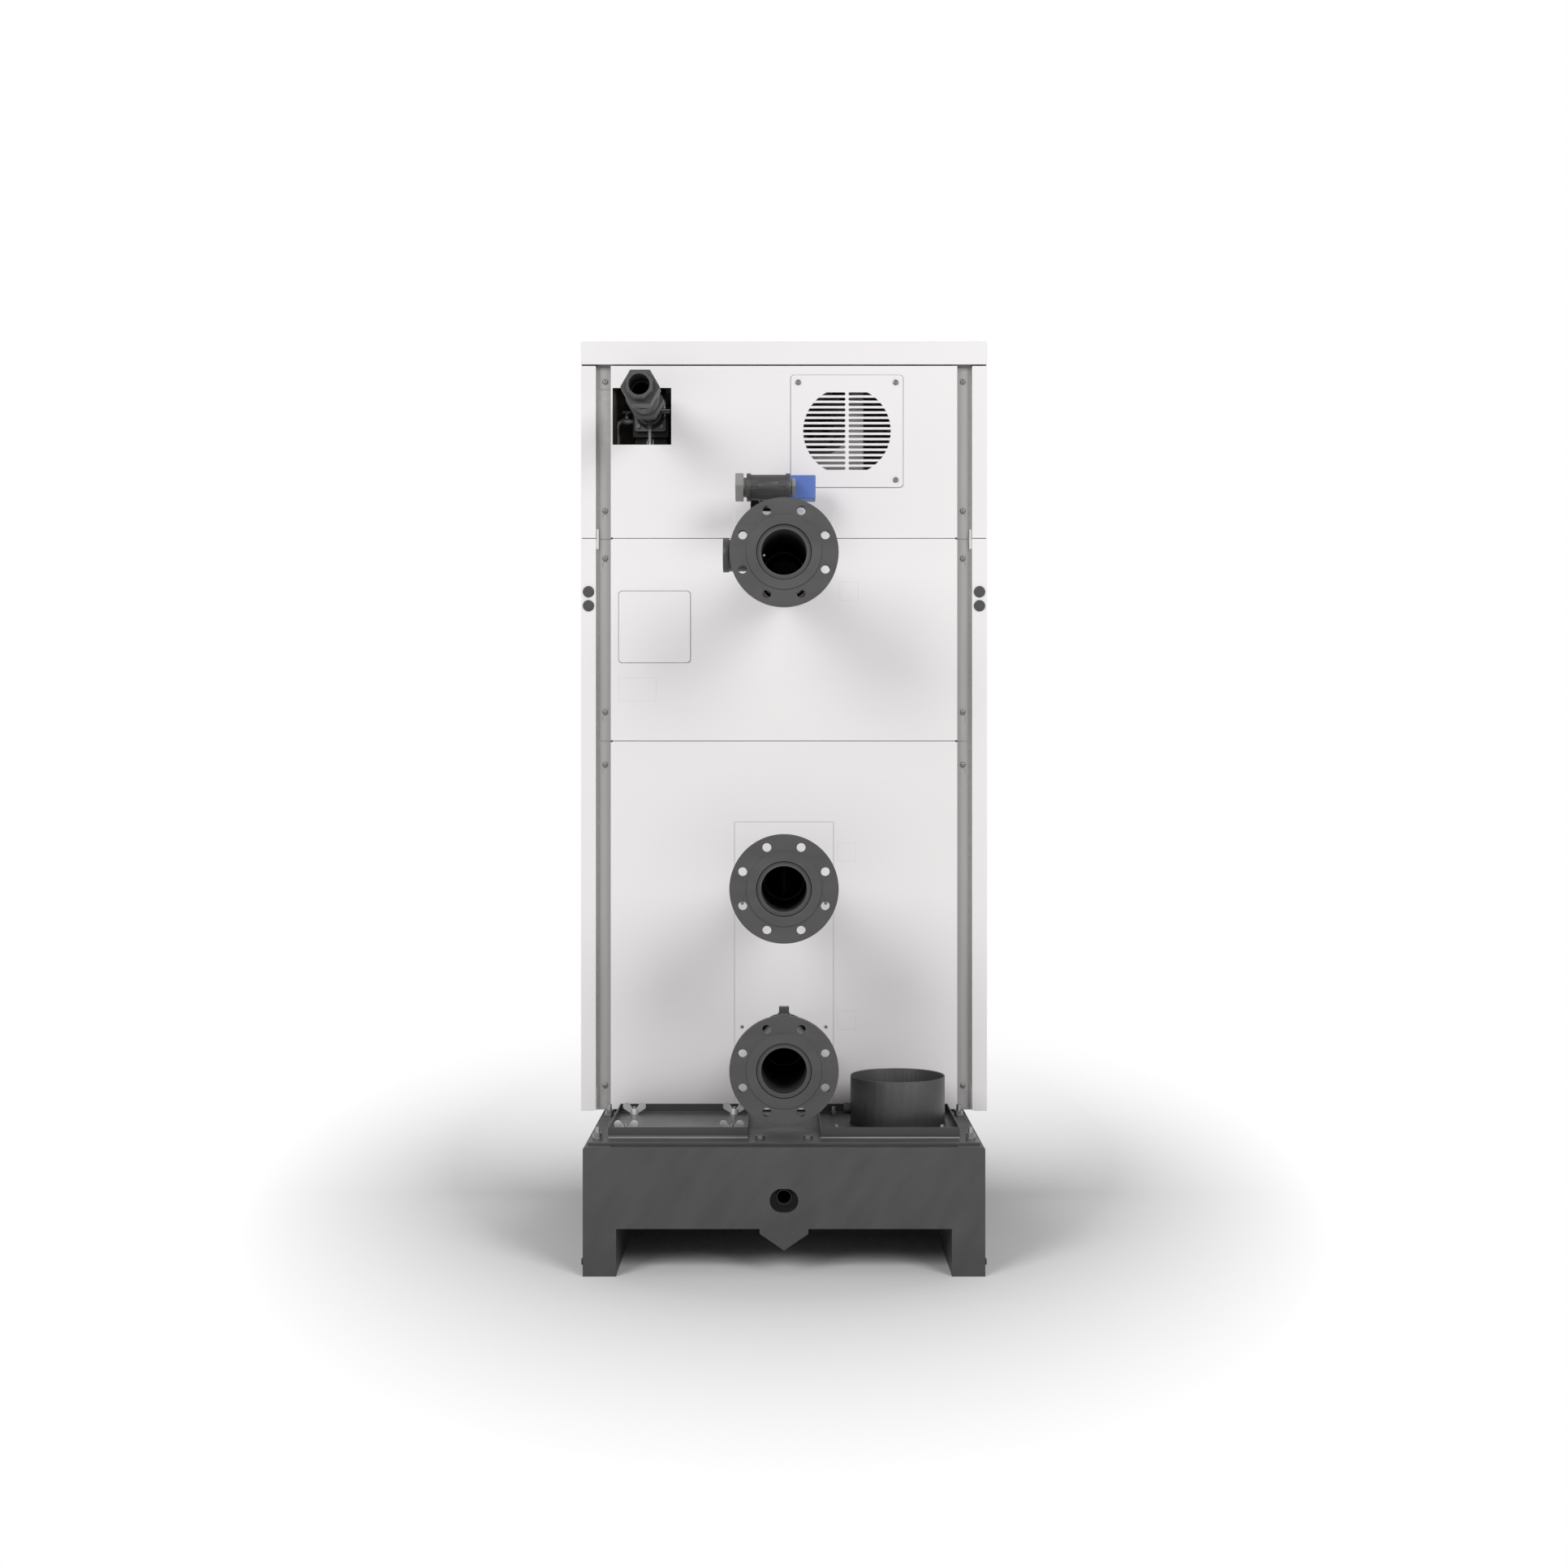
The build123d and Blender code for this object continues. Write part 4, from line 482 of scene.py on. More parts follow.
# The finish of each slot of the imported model
finishes = {
    "base_paint": dark_paint("base_paint", base_grey, 0.5, turn=radians(55)),
    "casing_paint": casing_paint("casing_paint"),
    "pipe_paint": dark_paint("pipe_paint", pipe_grey, 0.45),
    "lid_steel": brushed_steel("lid_steel", steel_grey, 0, 0.38),
    "bare_steel": brushed_steel("bare_steel", shade(steel_grey, 0.68), 1, 0.48, metallic=0.25),
    "zinc": plated_steel("zinc", zinc_grey, 0.3, metallic=1.0),
    "malleable_iron": cast_metal("malleable_iron", (0.052, 0.052, 0.054), 0.3, 0.45),
    "plug_iron": cast_metal("plug_iron", (0.24, 0.24, 0.235), 0.4, 0.5),
    "gasket_rubber": moulded("gasket_rubber", (0.34, 0.34, 0.33), 0.7),
    "black_rubber": moulded("black_rubber", (0.04, 0.04, 0.043), 0.5),
    "blue_plastic": moulded("blue_plastic", (0.085, 0.16, 0.48), 0.4),
    "black_plastic": moulded("black_plastic", (0.02, 0.02, 0.021), 0.45),
    "red_plastic": moulded("red_plastic", (0.45, 0.025, 0.02), 0.3),
    "display_glass": smoked_glass(),
    "cast_aluminium": cast_metal("cast_aluminium", cast_grey, 0.6, 0.5, grain=300),
    "insulation": crumpled_foil(),
}

# Finishes of single nodes and small pieces
back_sheet = casing_paint("back_panel_paint", recessed=recess_y)
film = casing_paint("bare_film")
film_edge = moulded("film_edge", shade(panel_white, 0.85), 0.5)
# Greys of the painted shadow lines round the plates on the back
shadow_line = moulded("grey_shadow_line", shade(panel_white, 0.3), 0.7)
insert_shadow_line = moulded("insert_shadow_line", shade(panel_white, 0.5), 0.7)
# Dark brown sheet: the plate behind the gas window, and painted shade on the frame's post
dark_lining = moulded("dark_lining_sheet", lining_brown, 0.8, grain=300)
screen = moulded("screen", (0.030, 0.040, 0.042), 0.15, grain=900)
bore_scale = cast_metal("bore_scale", (0.006, 0.006, 0.006), 0, 0.8)
black_steel = plated_steel("black_steel", (0.035, 0.035, 0.037), 0.35, metallic=0.7)
bright_steel = plated_steel("bright_steel", (0.32, 0.32, 0.315), 0.4, metallic=0.4)
dull_zinc = plated_steel("dull_zinc", (0.22, 0.22, 0.215), 0.38, metallic=0.8)
wing_zinc = plated_steel("wing_zinc", (0.56, 0.56, 0.55), 0.36, metallic=0.4)
purge_steel = plated_steel("purge_steel", (0.17, 0.165, 0.16), 0.38, metallic=0.6)
frame_sheet = plated_steel("frame_sheet", strip_grey, 0.5, metallic=0.2)
# Lit copy of the lid steel: the cover's floor twice as light, a painted reflection of the white back, and
# its walls above cover_rim_z a painted dark reflection
lit_cover_steel = brushed_steel("lit_cover_steel", shade(steel_grey, 2.0), 0, 0.34, dark_reflection_above=cover_rim_z)
# Lighter and darker copies of the lid steel: painted light on the sump lid, painted shade on the flue pan
lit_sump_lid_steel = brushed_steel("lit_sump_lid_steel", shade(steel_grey, 1.3), 0, 0.38)
shaded_flue_pan_steel = brushed_steel("shaded_flue_pan_steel", shade(steel_grey, 0.8), 0, 0.38)
fan_casting = cast_metal("fan_casting", (0.33, 0.32, 0.31), 0.3, 0.5, grain=300)
valve_casting = cast_metal("valve_casting", cast_grey, 0.6, 0.5, grain=300, black_before=valve_plate_y)

# Nodes with a finish other than their slot's own
wing_nuts = [f"wing_nut_{number}" for number in range(1, 5)]
special_finishes = {
    "back_panel_top": back_sheet,
    "back_panel_middle": back_sheet,
    "back_panel_bottom": back_sheet,
    "casing_frame": frame_sheet,
    "inspection_cover": lit_cover_steel,
    "sump_lid": lit_sump_lid_steel,
    "flue_pan": shaded_flue_pan_steel,
    "base_fasteners": dull_zinc,
    **dict.fromkeys(wing_nuts, wing_zinc),
    "fan_housing": fan_casting,
    "gas_valve": valve_casting,
    "purge_cock": purge_steel,
    "purge_handle": finishes["black_plastic"],
}

# How far sharp edges are rounded: the usual width, and the nodes with another one
usual_edge = 0.0004
edge_groups = {
    0.0005: ["flow_switch"],
    0.0006: ["sump_lid"],
    0.0007: wing_nuts,
    0.0008: ["base_rear_plate", "base_front_plate", "base_rail_left", "base_rail_right", "gas_union"],
    0.0010: ["pipe_flanges", "gas_union_nut", "safety_tee", "tee_fittings"],
    0.0015: ["fan_housing", "gas_valve"],
}
edge_widths = {name: width for width, names in edge_groups.items() for name in names}


def soften(piece, width):
    """Rounds the sharp edges of a piece so that they catch the light."""
    weld = piece.modifiers.new("weld", "WELD")
    weld.merge_threshold = 0.00001
    bevel = piece.modifiers.new("bevel", "BEVEL")
    bevel.width = width
    bevel.segments = 2
    bevel.limit_method = "ANGLE"
    bevel.angle_limit = radians(35)
    bevel.harden_normals = True


def dress_nodes():
    """Gives each node its finish and softened edges."""
    for part in frame["record"]["subparts"]:
        name = part["node"]
        node = nodes[name]
        node.data.materials.clear()
        node.data.materials.append(special_finishes.get(name, finishes[part["material_slot"]]))
        soften(node, edge_widths.get(name, usual_edge))


# Building blocks of small pieces


def add_piece(name, shape, material, body="boiler"):
    """Makes a piece of the finished shape, which rides on a body."""
    mesh = bpy.data.meshes.new(name)
    shape.to_mesh(mesh)
    shape.free()
    mesh.materials.append(material)
    piece = bpy.data.objects.new(name, mesh)
    bpy.context.scene.collection.objects.link(piece)
    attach(piece, body)
    return piece


def facing(place, direction):
    """The matrix that takes a shape drawn upright round the origin to a place, facing a direction."""
    turn = Vector(direction).to_track_quat("Z", "Y").to_matrix().to_4x4()
    return Matrix.Translation(place) @ turn


def add_sides(shape, lower, upper, smooth=False):
    """The side faces between two rings with the same number of points."""
    for index in range(len(lower)):
        after = (index + 1) % len(lower)
        face = shape.faces.new((lower[index], lower[after], upper[after], upper[index]))
        face.smooth = smooth


def turned(profile, segments=32):
    """A shape turned about Z from points of radius and height, smooth between its corners."""
    shape = bmesh.new()
    rings = []
    for radius, height in profile:
        if radius == 0:
            rings.append([shape.verts.new((0, 0, height))])
            continue
        angles = [2 * pi * index / segments for index in range(segments)]
        rings.append([shape.verts.new((radius * cos(a), radius * sin(a), height)) for a in angles])
    for lower, upper in zip(rings, rings[1:]):
        for index in range(segments):
            after = (index + 1) % segments
            corners = [lower[index % len(lower)], lower[after % len(lower)],
                       upper[after % len(upper)], upper[index % len(upper)]]
            shape.faces.new(list(dict.fromkeys(corners)))
    for face in shape.faces:
        face.smooth = True
    return shape


def rectangle(x, z):
    """The corner points of a rectangle between two places on each axis."""
    return [(x[0], z[0]), (x[1], z[0]), (x[1], z[1]), (x[0], z[1])]


def rounded_outline(x, z, radius, steps=6):
    """The corner points of a rounded rectangle between two places on each axis."""
    points = []
    corners = [(x[1], z[1], 0), (x[0], z[1], 90), (x[0], z[0], 180), (x[1], z[0], 270)]
    for corner_x, corner_z, start in corners:
        center_x = corner_x - radius if corner_x == x[1] else corner_x + radius
        center_z = corner_z - radius if corner_z == z[1] else corner_z + radius
        for step in range(steps + 1):
            angle = radians(start + 90 * step / steps)
            points.append((center_x + radius * cos(angle), center_z + radius * sin(angle)))
    return points


def slab(points, y):
    """A flat slab of an outline in X and Z, between two Y places."""
    shape = bmesh.new()
    back = [shape.verts.new((x, y[0], z)) for x, z in points]
    front = [shape.verts.new((x, y[1], z)) for x, z in points]
    shape.faces.new(back)
    shape.faces.new(list(reversed(front)))
    add_sides(shape, front, back)
    bmesh.ops.recalc_face_normals(shape, faces=shape.faces)
    return shape


def tapered(points, low, high, taper):
    """A straight-sided shape over an outline in X and Y, drawn in by a factor at its low end."""
    shape = bmesh.new()
    bottom = [shape.verts.new((x * taper, y * taper, low)) for x, y in points]
    top = [shape.verts.new((x, y, high)) for x, y in points]
    shape.faces.new(list(reversed(bottom)))
    shape.faces.new(top)
    add_sides(shape, bottom, top)
    bmesh.ops.recalc_face_normals(shape, faces=shape.faces)
    return shape


def ring_bead(radius, size, ripple=0.0):
    """A bead round Z, rippled along its way by a share of its size."""
    ripples = int(2 * pi * radius / weld_ripple)
    around, across = ripples * 4, 8
    shape = bmesh.new()
    rings = []
    for index in range(around):
        angle = 2 * pi * index / around
        bead = size * (1 + ripple * sin(angle * ripples))
        ring = []
        for step in range(across):
            turn = 2 * pi * step / across
            reach = radius + bead * cos(turn)
            ring.append(shape.verts.new((reach * cos(angle), reach * sin(angle), bead * sin(turn))))
        rings.append(ring)
    for index in range(around):
        first, second = rings[index], rings[(index + 1) % around]
        for step in range(across):
            after = (step + 1) % across
            shape.faces.new((first[step], second[step], second[after], first[after])).smooth = True
    return shape


def sleeve(points, radius, sides=16):
    """A round tube along points that share one X place."""
    shape = bmesh.new()
    rings = []
    for index, point in enumerate(points):
        before, after = points[max(index - 1, 0)], points[min(index + 1, len(points) - 1)]
        ahead = (Vector(after) - Vector(before)).normalized()
        across = Vector((1, 0, 0))
        up = ahead.cross(across)
        angles = [2 * pi * step / sides for step in range(sides)]
        rings.append([shape.verts.new(Vector(point) + radius * (across * cos(a) + up * sin(a)))
                      for a in angles])
    for first, second in zip(rings, rings[1:]):
        add_sides(shape, first, second, smooth=True)
    shape.faces.new(list(reversed(rings[0])))
    shape.faces.new(rings[-1])
    return shape


def join(target, part, matrix=Matrix.Identity(4)):
    """Adds a placed copy of one shape to another."""
    copy = part.copy()
    copy.transform(matrix)
    mesh = bpy.data.meshes.new("joined")
    copy.to_mesh(mesh)
    copy.free()
    target.from_mesh(mesh)
    bpy.data.meshes.remove(mesh)


def carved(shape, cutter):
    """A shape with the cutter's shape taken out of it."""
    objects = []
    for part in (shape, cutter):
        mesh = bpy.data.meshes.new("carving")
        part.to_mesh(mesh)
        part.free()
        objects.append(bpy.data.objects.new("carving", mesh))
        bpy.context.scene.collection.objects.link(objects[-1])
    cut = objects[0].modifiers.new("cut", "BOOLEAN")
    cut.object = objects[1]
    cut.solver = "EXACT"
    depsgraph = bpy.context.evaluated_depsgraph_get()
    result = bmesh.new()
    result.from_object(objects[0], depsgraph)
    for part in objects:
        bpy.data.meshes.remove(part.data)
    return result


# Screws and bolts


def loose_parts(name):
    """The lowest and highest corners of a node's separate solids, from the top down."""
    shape = bmesh.new()
    shape.from_mesh(nodes[name].data)
    bmesh.ops.remove_doubles(shape, verts=shape.verts, dist=0.00001)
    waiting = set(shape.verts)
    boxes = []
    while waiting:
        growing = [waiting.pop()]
        places = []
        while growing:
            vert = growing.pop()
            places.append(vert.co.copy())
            for edge in vert.link_edges:
                other = edge.other_vert(vert)
                if other in waiting:
                    waiting.remove(other)
                    growing.append(other)
        low, high = (Vector(choose(p[i] for p in places) for i in range(3)) for choose in (min, max))
        boxes.append((low, high))
    shape.free()
    return sorted(boxes, key=lambda box: (-round(box[1].z, 3), round(box[0].x, 3)))


def hexagon(flats):
    """The corners of a nut, bolt head or socket, given across its flats."""
    radius = flats / 2 / cos(pi / 6)
    angles = [2 * pi * index / 6 for index in range(6)]
    return [(radius * cos(angle), radius * sin(angle)) for angle in angles]


def cross_outline(length, width):
    """The twelve corners of an upright cross."""
    long, short = length / 2, width / 2
    quarter = [(long, -short), (long, short), (short, short)]
    corners = []
    for turn in range(4):
        angle = pi / 2 * turn
        corners += [(x * cos(angle) - y * sin(angle), x * sin(angle) + y * cos(angle)) for x, y in quarter]
    return corners


def pan_head(radius, height):
    """A domed head with a cross recess, standing on the origin."""
    wall = height * wall_share
    dome = [(0, 0), (radius, 0), (radius, wall)]
    for step in range(1, dome_steps + 1):
        angle = pi / 2 * step / dome_steps
        reach = radius * cos(angle) if step < dome_steps else 0
        dome.append((reach, wall + (height - wall) * sin(angle)))
    cross = cross_outline(radius * cross_length, radius * cross_width)
    cutter = tapered(cross, height * (1 - cross_depth), height * cutter_top, cross_taper)
    return carved(turned(dome), cutter)


def socket_screw(radius, height):
    """A cap screw with a hex socket, on its washer."""
    washer = height * washer_share
    head = radius * cap_share
    edge = radius * edge_share
    screw = turned([
        (0, 0),
        (radius, 0),
        (radius, washer - edge),
        (radius - edge, washer),
        (head, washer),
        (head, height - edge),
        (head - edge, height),
        (0, height),
    ])
    socket = hexagon(radius * socket_share * 2)
    return carved(screw, tapered(socket, height * socket_floor, height * cutter_top, 1))


def add_panel_screws():
    """Every screw on the back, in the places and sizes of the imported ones."""
    screws = bmesh.new()
    for index, (low, high) in enumerate(loose_parts("panel_screws")):
        middle = (low + high) / 2
        radius, height = (high.x - low.x) / 2, high.y - low.y
        on_grille = grille_low.x < middle.x < grille_high.x and grille_low.z < middle.z < grille_high.z
        screw = socket_screw(radius, height) if on_grille else pan_head(radius, height)
        turn = Matrix.Rotation(screw_turn * index, 4, "Z")
        join(screws, screw, facing((middle.x, low.y, middle.z), (0, 1, 0)) @ turn)
        screw.free()
    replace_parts(add_piece("screw_heads", screws, dull_zinc), "panel_screws")


def hex_head(flats, height):
    """A hexagon bolt head with its top corners turned off, on a washer face."""
    head = bmesh.new()
    reach, low = flats * bolt_washer_radius, height * bolt_washer_height
    washer = turned([(0, 0), (reach, 0), (reach, low), (0, low)])
    join(head, washer)
    washer.free()
    levels = [(1.0, low), (1.0, height - bolt_chamfer), (bolt_crown, height)]
    corners = hexagon(flats)
    rings = [[head.verts.new((x * k, y * k, z)) for x, y in corners] for k, z in levels]
    for lower, upper in zip(rings, rings[1:]):
        add_sides(head, lower, upper)
    head.faces.new(rings[-1])
    return head


def add_base_bolts():
    """The lifting bolts low down on both sides of the base, at its rear and front ends."""
    bolts = bmesh.new()
    head = hex_head(base_bolt_flats, base_bolt_height)
    y, z = base_bolt_place
    for side in (-1, 1):
        for end in (-1, 1):
            join(bolts, head, facing((side * base_side_x, end * y, z), (side, 0, 0)))
    head.free()
    add_piece("base_bolts", bolts, black_steel)


# Plates, painted shadow lines and films on the back


def add_shadow_line(name, x, z, material=shadow_line, radius=plate_radius):
    """A thin dark band round the edge of a plate on the back: a painted shadow line for the shade at the
    plate's edge.
    """
    outside = rounded_outline(wider(x, shadow_line_width), wider(z, shadow_line_width), radius)
    inside = rounded_outline(wider(x, -shadow_line_lap), wider(z, -shadow_line_lap), radius)
    band = carved(slab(outside, (rear_y, rear_y + shadow_line_height)),
                  slab(inside, (rear_y - shadow_line_height, rear_y + 2 * shadow_line_height)))
    add_piece(name, band, material)


def add_raised_plate():
    """The bare plate on the middle panel."""
    outline = rounded_outline(raised_plate_x, raised_plate_z, plate_radius)
    plate = slab(outline, (rear_y, rear_y + raised_plate_height))
    soften(add_piece("raised_plate", plate, finishes["casing_paint"]), raised_plate_edge)


def add_films():
    """The bare films on the back panels, with nothing on them, each on a slightly wider, darker rim."""
    for index, (x, z) in enumerate(films):
        shape = slab(rounded_outline(x, z, film_radius, 3), (rear_y, rear_y + film_height))
        add_piece(f"bare_film_{index + 1}", shape, film)
        outline = rounded_outline(wider(x, film_rim_width), wider(z, film_rim_width), film_radius, 3)
        rim = slab(outline, (rear_y, rear_y + film_height / 2))
        add_piece(f"film_rim_{index + 1}", rim, film_edge)


# Small fittings in the gas window


def add_impulse_tube():
    """The bright skin of the thin gas tube, bent to the valve's box."""
    angles = [radians(90 * step / tube_steps) for step in range(tube_steps + 1)]
    bend = [(gas_x, tube_y - tube_bend * (1 - cos(a)), tube_low + tube_bend * (1 - sin(a)))
            for a in angles]
    tube = sleeve([(gas_x, tube_y, tube_top), *bend, (gas_x, valve_box_y, tube_low)], tube_radius)
    add_piece("impulse_tube", tube, bright_steel)


def add_plate_screws():
    """The four socket screws of the gas valve's plate, on its rear face."""
    screws = bmesh.new()
    screw = socket_screw(plate_screw_radius, plate_screw_height)
    across, up = plate_screw_offset
    for x in both(across):
        for z in both(up):
            join(screws, screw, facing((gas_x + x, plate_face_y, gas_z + z), (0, 1, 0)))
    screw.free()
    add_piece("plate_screws", screws, bright_steel)


def add_valve_pins():
    """The two bright pins on the back of the valve's switch box."""
    pins = bmesh.new()
    edge = pin_radius * pin_edge_share
    pin = turned([(0, 0), (pin_radius, 0), (pin_radius, pin_height - edge),
                  (pin_radius - edge, pin_height), (0, pin_height)], segments=12)
    for x in pin_places:
        join(pins, pin, Matrix.Translation((x, valve_box_y + pin_radius, pin_low)))
    pin.free()
    add_piece("valve_pins", pins, bright_steel)


def test_nipple():
    """The nipple with its nut and its rounded tip, upright on the origin."""
    return turned([
        (0, nipple_low),
        (nipple_radius, nipple_low),
        (nipple_radius, nipple_nut_z[0]),
        (nipple_nut_radius, nipple_nut_z[0]),
        (nipple_nut_radius, nipple_nut_z[1]),
        (nipple_radius, nipple_neck_z[0]),
        (nipple_radius, nipple_neck_z[1]),
        *nipple_tip,
        (0, nipple_tip[-1][1]),
    ], segments=16)


def add_test_point():
    """The pressure test nipple in its clip on the side of the gas collar."""
    x, y, z = test_point
    outline = rounded_outline(shifted(clip_x, x), shifted(both(clip_z), z), clip_radius, 3)
    block = slab(outline, shifted(both(clip_y), y))
    soften(add_piece("test_clip", block, finishes["black_plastic"]), clip_edge)
    outline = rounded_outline(shifted(strap_x, x), shifted(strap_z, z), strap_radius, 2)
    strap = slab(outline, shifted(strap_y, y))
    nipple = test_nipple()
    join(strap, nipple, Matrix.Translation((x, y + nipple_y, z)))
    nipple.free()
    add_piece("test_nipple", strap, bright_steel)


def add_window_lining():
    """The dark brown plate behind the purge pipe, with its small square hole."""
    outline = rounded_outline(lining_x, lining_z, lining_radius)
    plate = slab(outline, (lining_y - lining_thickness, lining_y))
    x, z = lining_hole
    half = both(lining_hole_half)
    outline = rounded_outline(shifted(half, x), shifted(half, z), lining_corner_radius, 2)
    hole = slab(outline, (lining_y - 2 * lining_thickness, lining_y + lining_thickness))
    add_piece("window_lining", carved(plate, hole), dark_lining)


def add_post_shade():
    """A dark brown sheet round the corner of the frame's post beside the window: painted shade where the
    post lies inside the casing.
    """
    outline = rounded_outline(post_shade_x, post_shade_z, lining_corner_radius, 2)
    strip = slab(outline, (post_y[1], post_y[1] + post_shade_thickness))
    side_x = (post_shade_x[0] - post_shade_thickness, post_shade_x[0])
    side = slab(rounded_outline(side_x, post_shade_z, lining_corner_radius, 2), post_y)
    join(strip, side)
    side.free()
    add_piece("post_shade", strip, dark_lining)


# Round the grille and the seams


def add_fan_shroud():
    """The plain sheet beside the fan behind the grille, cut round for its scroll."""
    sheet = slab(rounded_outline(shroud_x, shroud_z, shroud_radius, 3), shroud_y)
    x, z = shroud_hole
    hole = bmesh.new()
    bmesh.ops.create_cone(hole, cap_ends=True, segments=96, radius1=shroud_hole_radius,
                          radius2=shroud_hole_radius, depth=shroud_cutter)
    hole.transform(facing((x, sum(shroud_y) / 2, z), (0, 1, 0)))
    add_piece("fan_shroud", carved(sheet, hole), frame_sheet)


def add_relief_plugs():
    """The small black plugs in the corner reliefs of the back panels, at the ends of both seams."""
    plugs = bmesh.new()
    share, shoulder = relief_crown
    plug = turned([(0, 0), (relief_radius, 0), (relief_radius * share, shoulder), (0, relief_height)],
                  segments=20)
    for x in both(relief_x):
        for panel in ("back_panel_middle", "back_panel_bottom"):
            join(plugs, plug, facing((x, rear_y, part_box(panel)[1].z), (0, 1, 0)))
    plug.free()
    add_piece("relief_plugs", plugs, finishes["black_plastic"])


# Inside the connection pipes


def add_bore_scale():
    """The dark film of scale on the inside of each connection pipe."""
    start, end = scale_y
    outer, inner = (bore_radius - depth for depth in scale_depths)
    scale = turned([(outer, start), (outer, end), (inner, end), (inner, start), (outer, start)],
                   segments=64)
    bmesh.ops.remove_doubles(scale, verts=scale.verts, dist=0.00001)
    scales = bmesh.new()
    for height in pipe_heights:
        join(scales, scale, facing((0, 0, height), (0, 1, 0)))
    scale.free()
    bmesh.ops.recalc_face_normals(scales, faces=scales.faces)
    add_piece("bore_scale", scales, bore_scale)


def add_sensor_tip():
    """The rounded end of the sensor pocket that stands into the flow pipe's bore."""
    tip = turned([(0, -sensor_reach), (sensor_radius * sensor_crown, -sensor_reach),
                  (sensor_radius, -sensor_reach + sensor_edge), (sensor_radius, 0), (0, 0)], segments=20)
    tip.transform(facing((bore_radius, sensor_y, pipe_heights[0]), (1, 0, 0)))
    add_piece("sensor_tip", tip, finishes["zinc"])


# Welds


def add_pipe_welds():
    """A bead in each flange's recess and one where the pipe meets the flange's back."""
    low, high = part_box("flow_pipe")
    pipe_radius = (high.x - low.x) / 2
    beads = [
        (pipe_radius - inner_weld_inset, weld_radius * inner_weld_share, high.y),
        (pipe_radius + outer_weld_reach, weld_radius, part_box("pipe_flanges")[0].y),
    ]
    welds = bmesh.new()
    for height in pipe_heights:
        for radius, size, y in beads:
            bead = ring_bead(radius, size, weld_ripple_share)
            join(welds, bead, facing((0, y, height), (0, 1, 0)))
            bead.free()
    add_piece("pipe_welds", welds, finishes["pipe_paint"])


def add_flue_beads():
    """The weld between the flue spigot and its pan, and a bright ring on its rim, a painted highlight on
    the rim's edge.
    """
    low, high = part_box("flue_spigot")
    radius = (high.y - low.y) / 2
    middle = (low.x + radius, low.y + radius)
    weld = ring_bead(radius + flue_weld_reach, flue_weld_size, weld_ripple_share)
    weld.transform(Matrix.Translation((*middle, low.z + flue_weld_reach)))
    add_piece("flue_weld", weld, finishes["bare_steel"])
    # Bright ring at the spigot's top: painted highlight on its edge
    rim = ring_bead(radius - rim_highlight_size, rim_highlight_size)
    rim.transform(Matrix.Translation((*middle, high.z - rim_highlight_size)))
    add_piece("flue_rim_highlight", rim, bright_steel)


# Front controls


def frame_round(x, z, reach, height):
    """A flat frame on the control bay's floor, round a window of the given spans."""
    outline = rounded_outline(wider(x, reach), wider(z, reach), reach)
    outside = slab(outline, (bay_floor_y - height, bay_floor_y))
    inside = slab(rounded_outline(x, z, reach / 2), (bay_floor_y - 2 * height, bay_floor_y + height))
    return carved(outside, inside)


def add_control_frames():
    """The frames round the display glass and the switch."""
    low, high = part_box("display")
    glass_x, glass_z = wider((low.x, high.x), -glass_lap), wider((low.z, high.z), -glass_lap)
    frames = frame_round(glass_x, glass_z, frame_reach, display_frame)
    low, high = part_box("power_switch")
    switch_x, switch_z = wider((low.x, high.x), switch_gap), wider((low.z, high.z), switch_gap)
    rocker = frame_round(switch_x, switch_z, switch_frame, switch_frame)
    join(frames, rocker)
    rocker.free()
    soften(add_piece("control_frames", frames, finishes["black_plastic"]), frame_edge)


def add_screen():
    """The bare screen of the display, just before its glass."""
    low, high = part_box("display")
    x, z = wider((low.x, high.x), -screen_inset), wider((low.z, high.z), -screen_inset)
    shape = slab(rounded_outline(x, z, screen_radius), (low.y - mark_height, low.y))
    add_piece("bare_screen", shape, screen)


def add_knob_pointer():
    """The knob's pale pointer, which turns with it."""
    low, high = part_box("selector_knob")
    x, z = shifted(both(pointer_half), (low.x + high.x) / 2), shifted(pointer_z, (low.z + high.z) / 2)
    pointer = slab(rounded_outline(x, z, pointer_radius, 2), (low.y - mark_height, low.y))
    add_piece("knob_pointer", pointer, film, "selector_knob")


def add_control_marks():
    """The plain scale round the knob, and the bar and ring beside the switch."""
    marks = bmesh.new()
    low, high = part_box("selector_knob")
    middle = ((low.x + high.x) / 2, bay_floor_y, (low.z + high.z) / 2)
    tick_z = (scale_radius, scale_radius + scale_tick)
    tick = slab(rectangle(both(scale_tick_half), tick_z), (-mark_height, 0))
    for index in range(scale_marks):
        angle = scale_reach * (2 * index / (scale_marks - 1) - 1)
        join(marks, tick, Matrix.Translation(middle) @ Matrix.Rotation(angle, 4, "Y"))
    tick.free()
    low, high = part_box("power_switch")
    x, z = low.x - switch_mark_gap, (low.z + high.z) / 2
    bar_outline = rectangle(shifted(both(bar_half), x), shifted(bar_z, z))
    bar = slab(bar_outline, (bay_floor_y - mark_height, bay_floor_y))
    ring = ring_bead(ring_radius, mark_height)
    join(marks, bar)
    join(marks, ring, facing((x, bay_floor_y, z - ring_drop), (0, -1, 0)))
    bar.free()
    ring.free()
    add_piece("control_marks", marks, finishes["black_plastic"])


# Stage


def add_camera():
    """A level camera behind the boiler, framed as in the photograph's square picture."""
    data = bpy.data.cameras.new("camera")
    data.sensor_width = camera_sensor
    data.lens = camera_lens
    data.clip_end = camera_reach
    camera = bpy.data.objects.new("camera", data)
    camera.location = camera_place
    camera.rotation_euler = (radians(90), 0, radians(180))
    bpy.context.scene.collection.objects.link(camera)
    bpy.context.scene.camera = camera


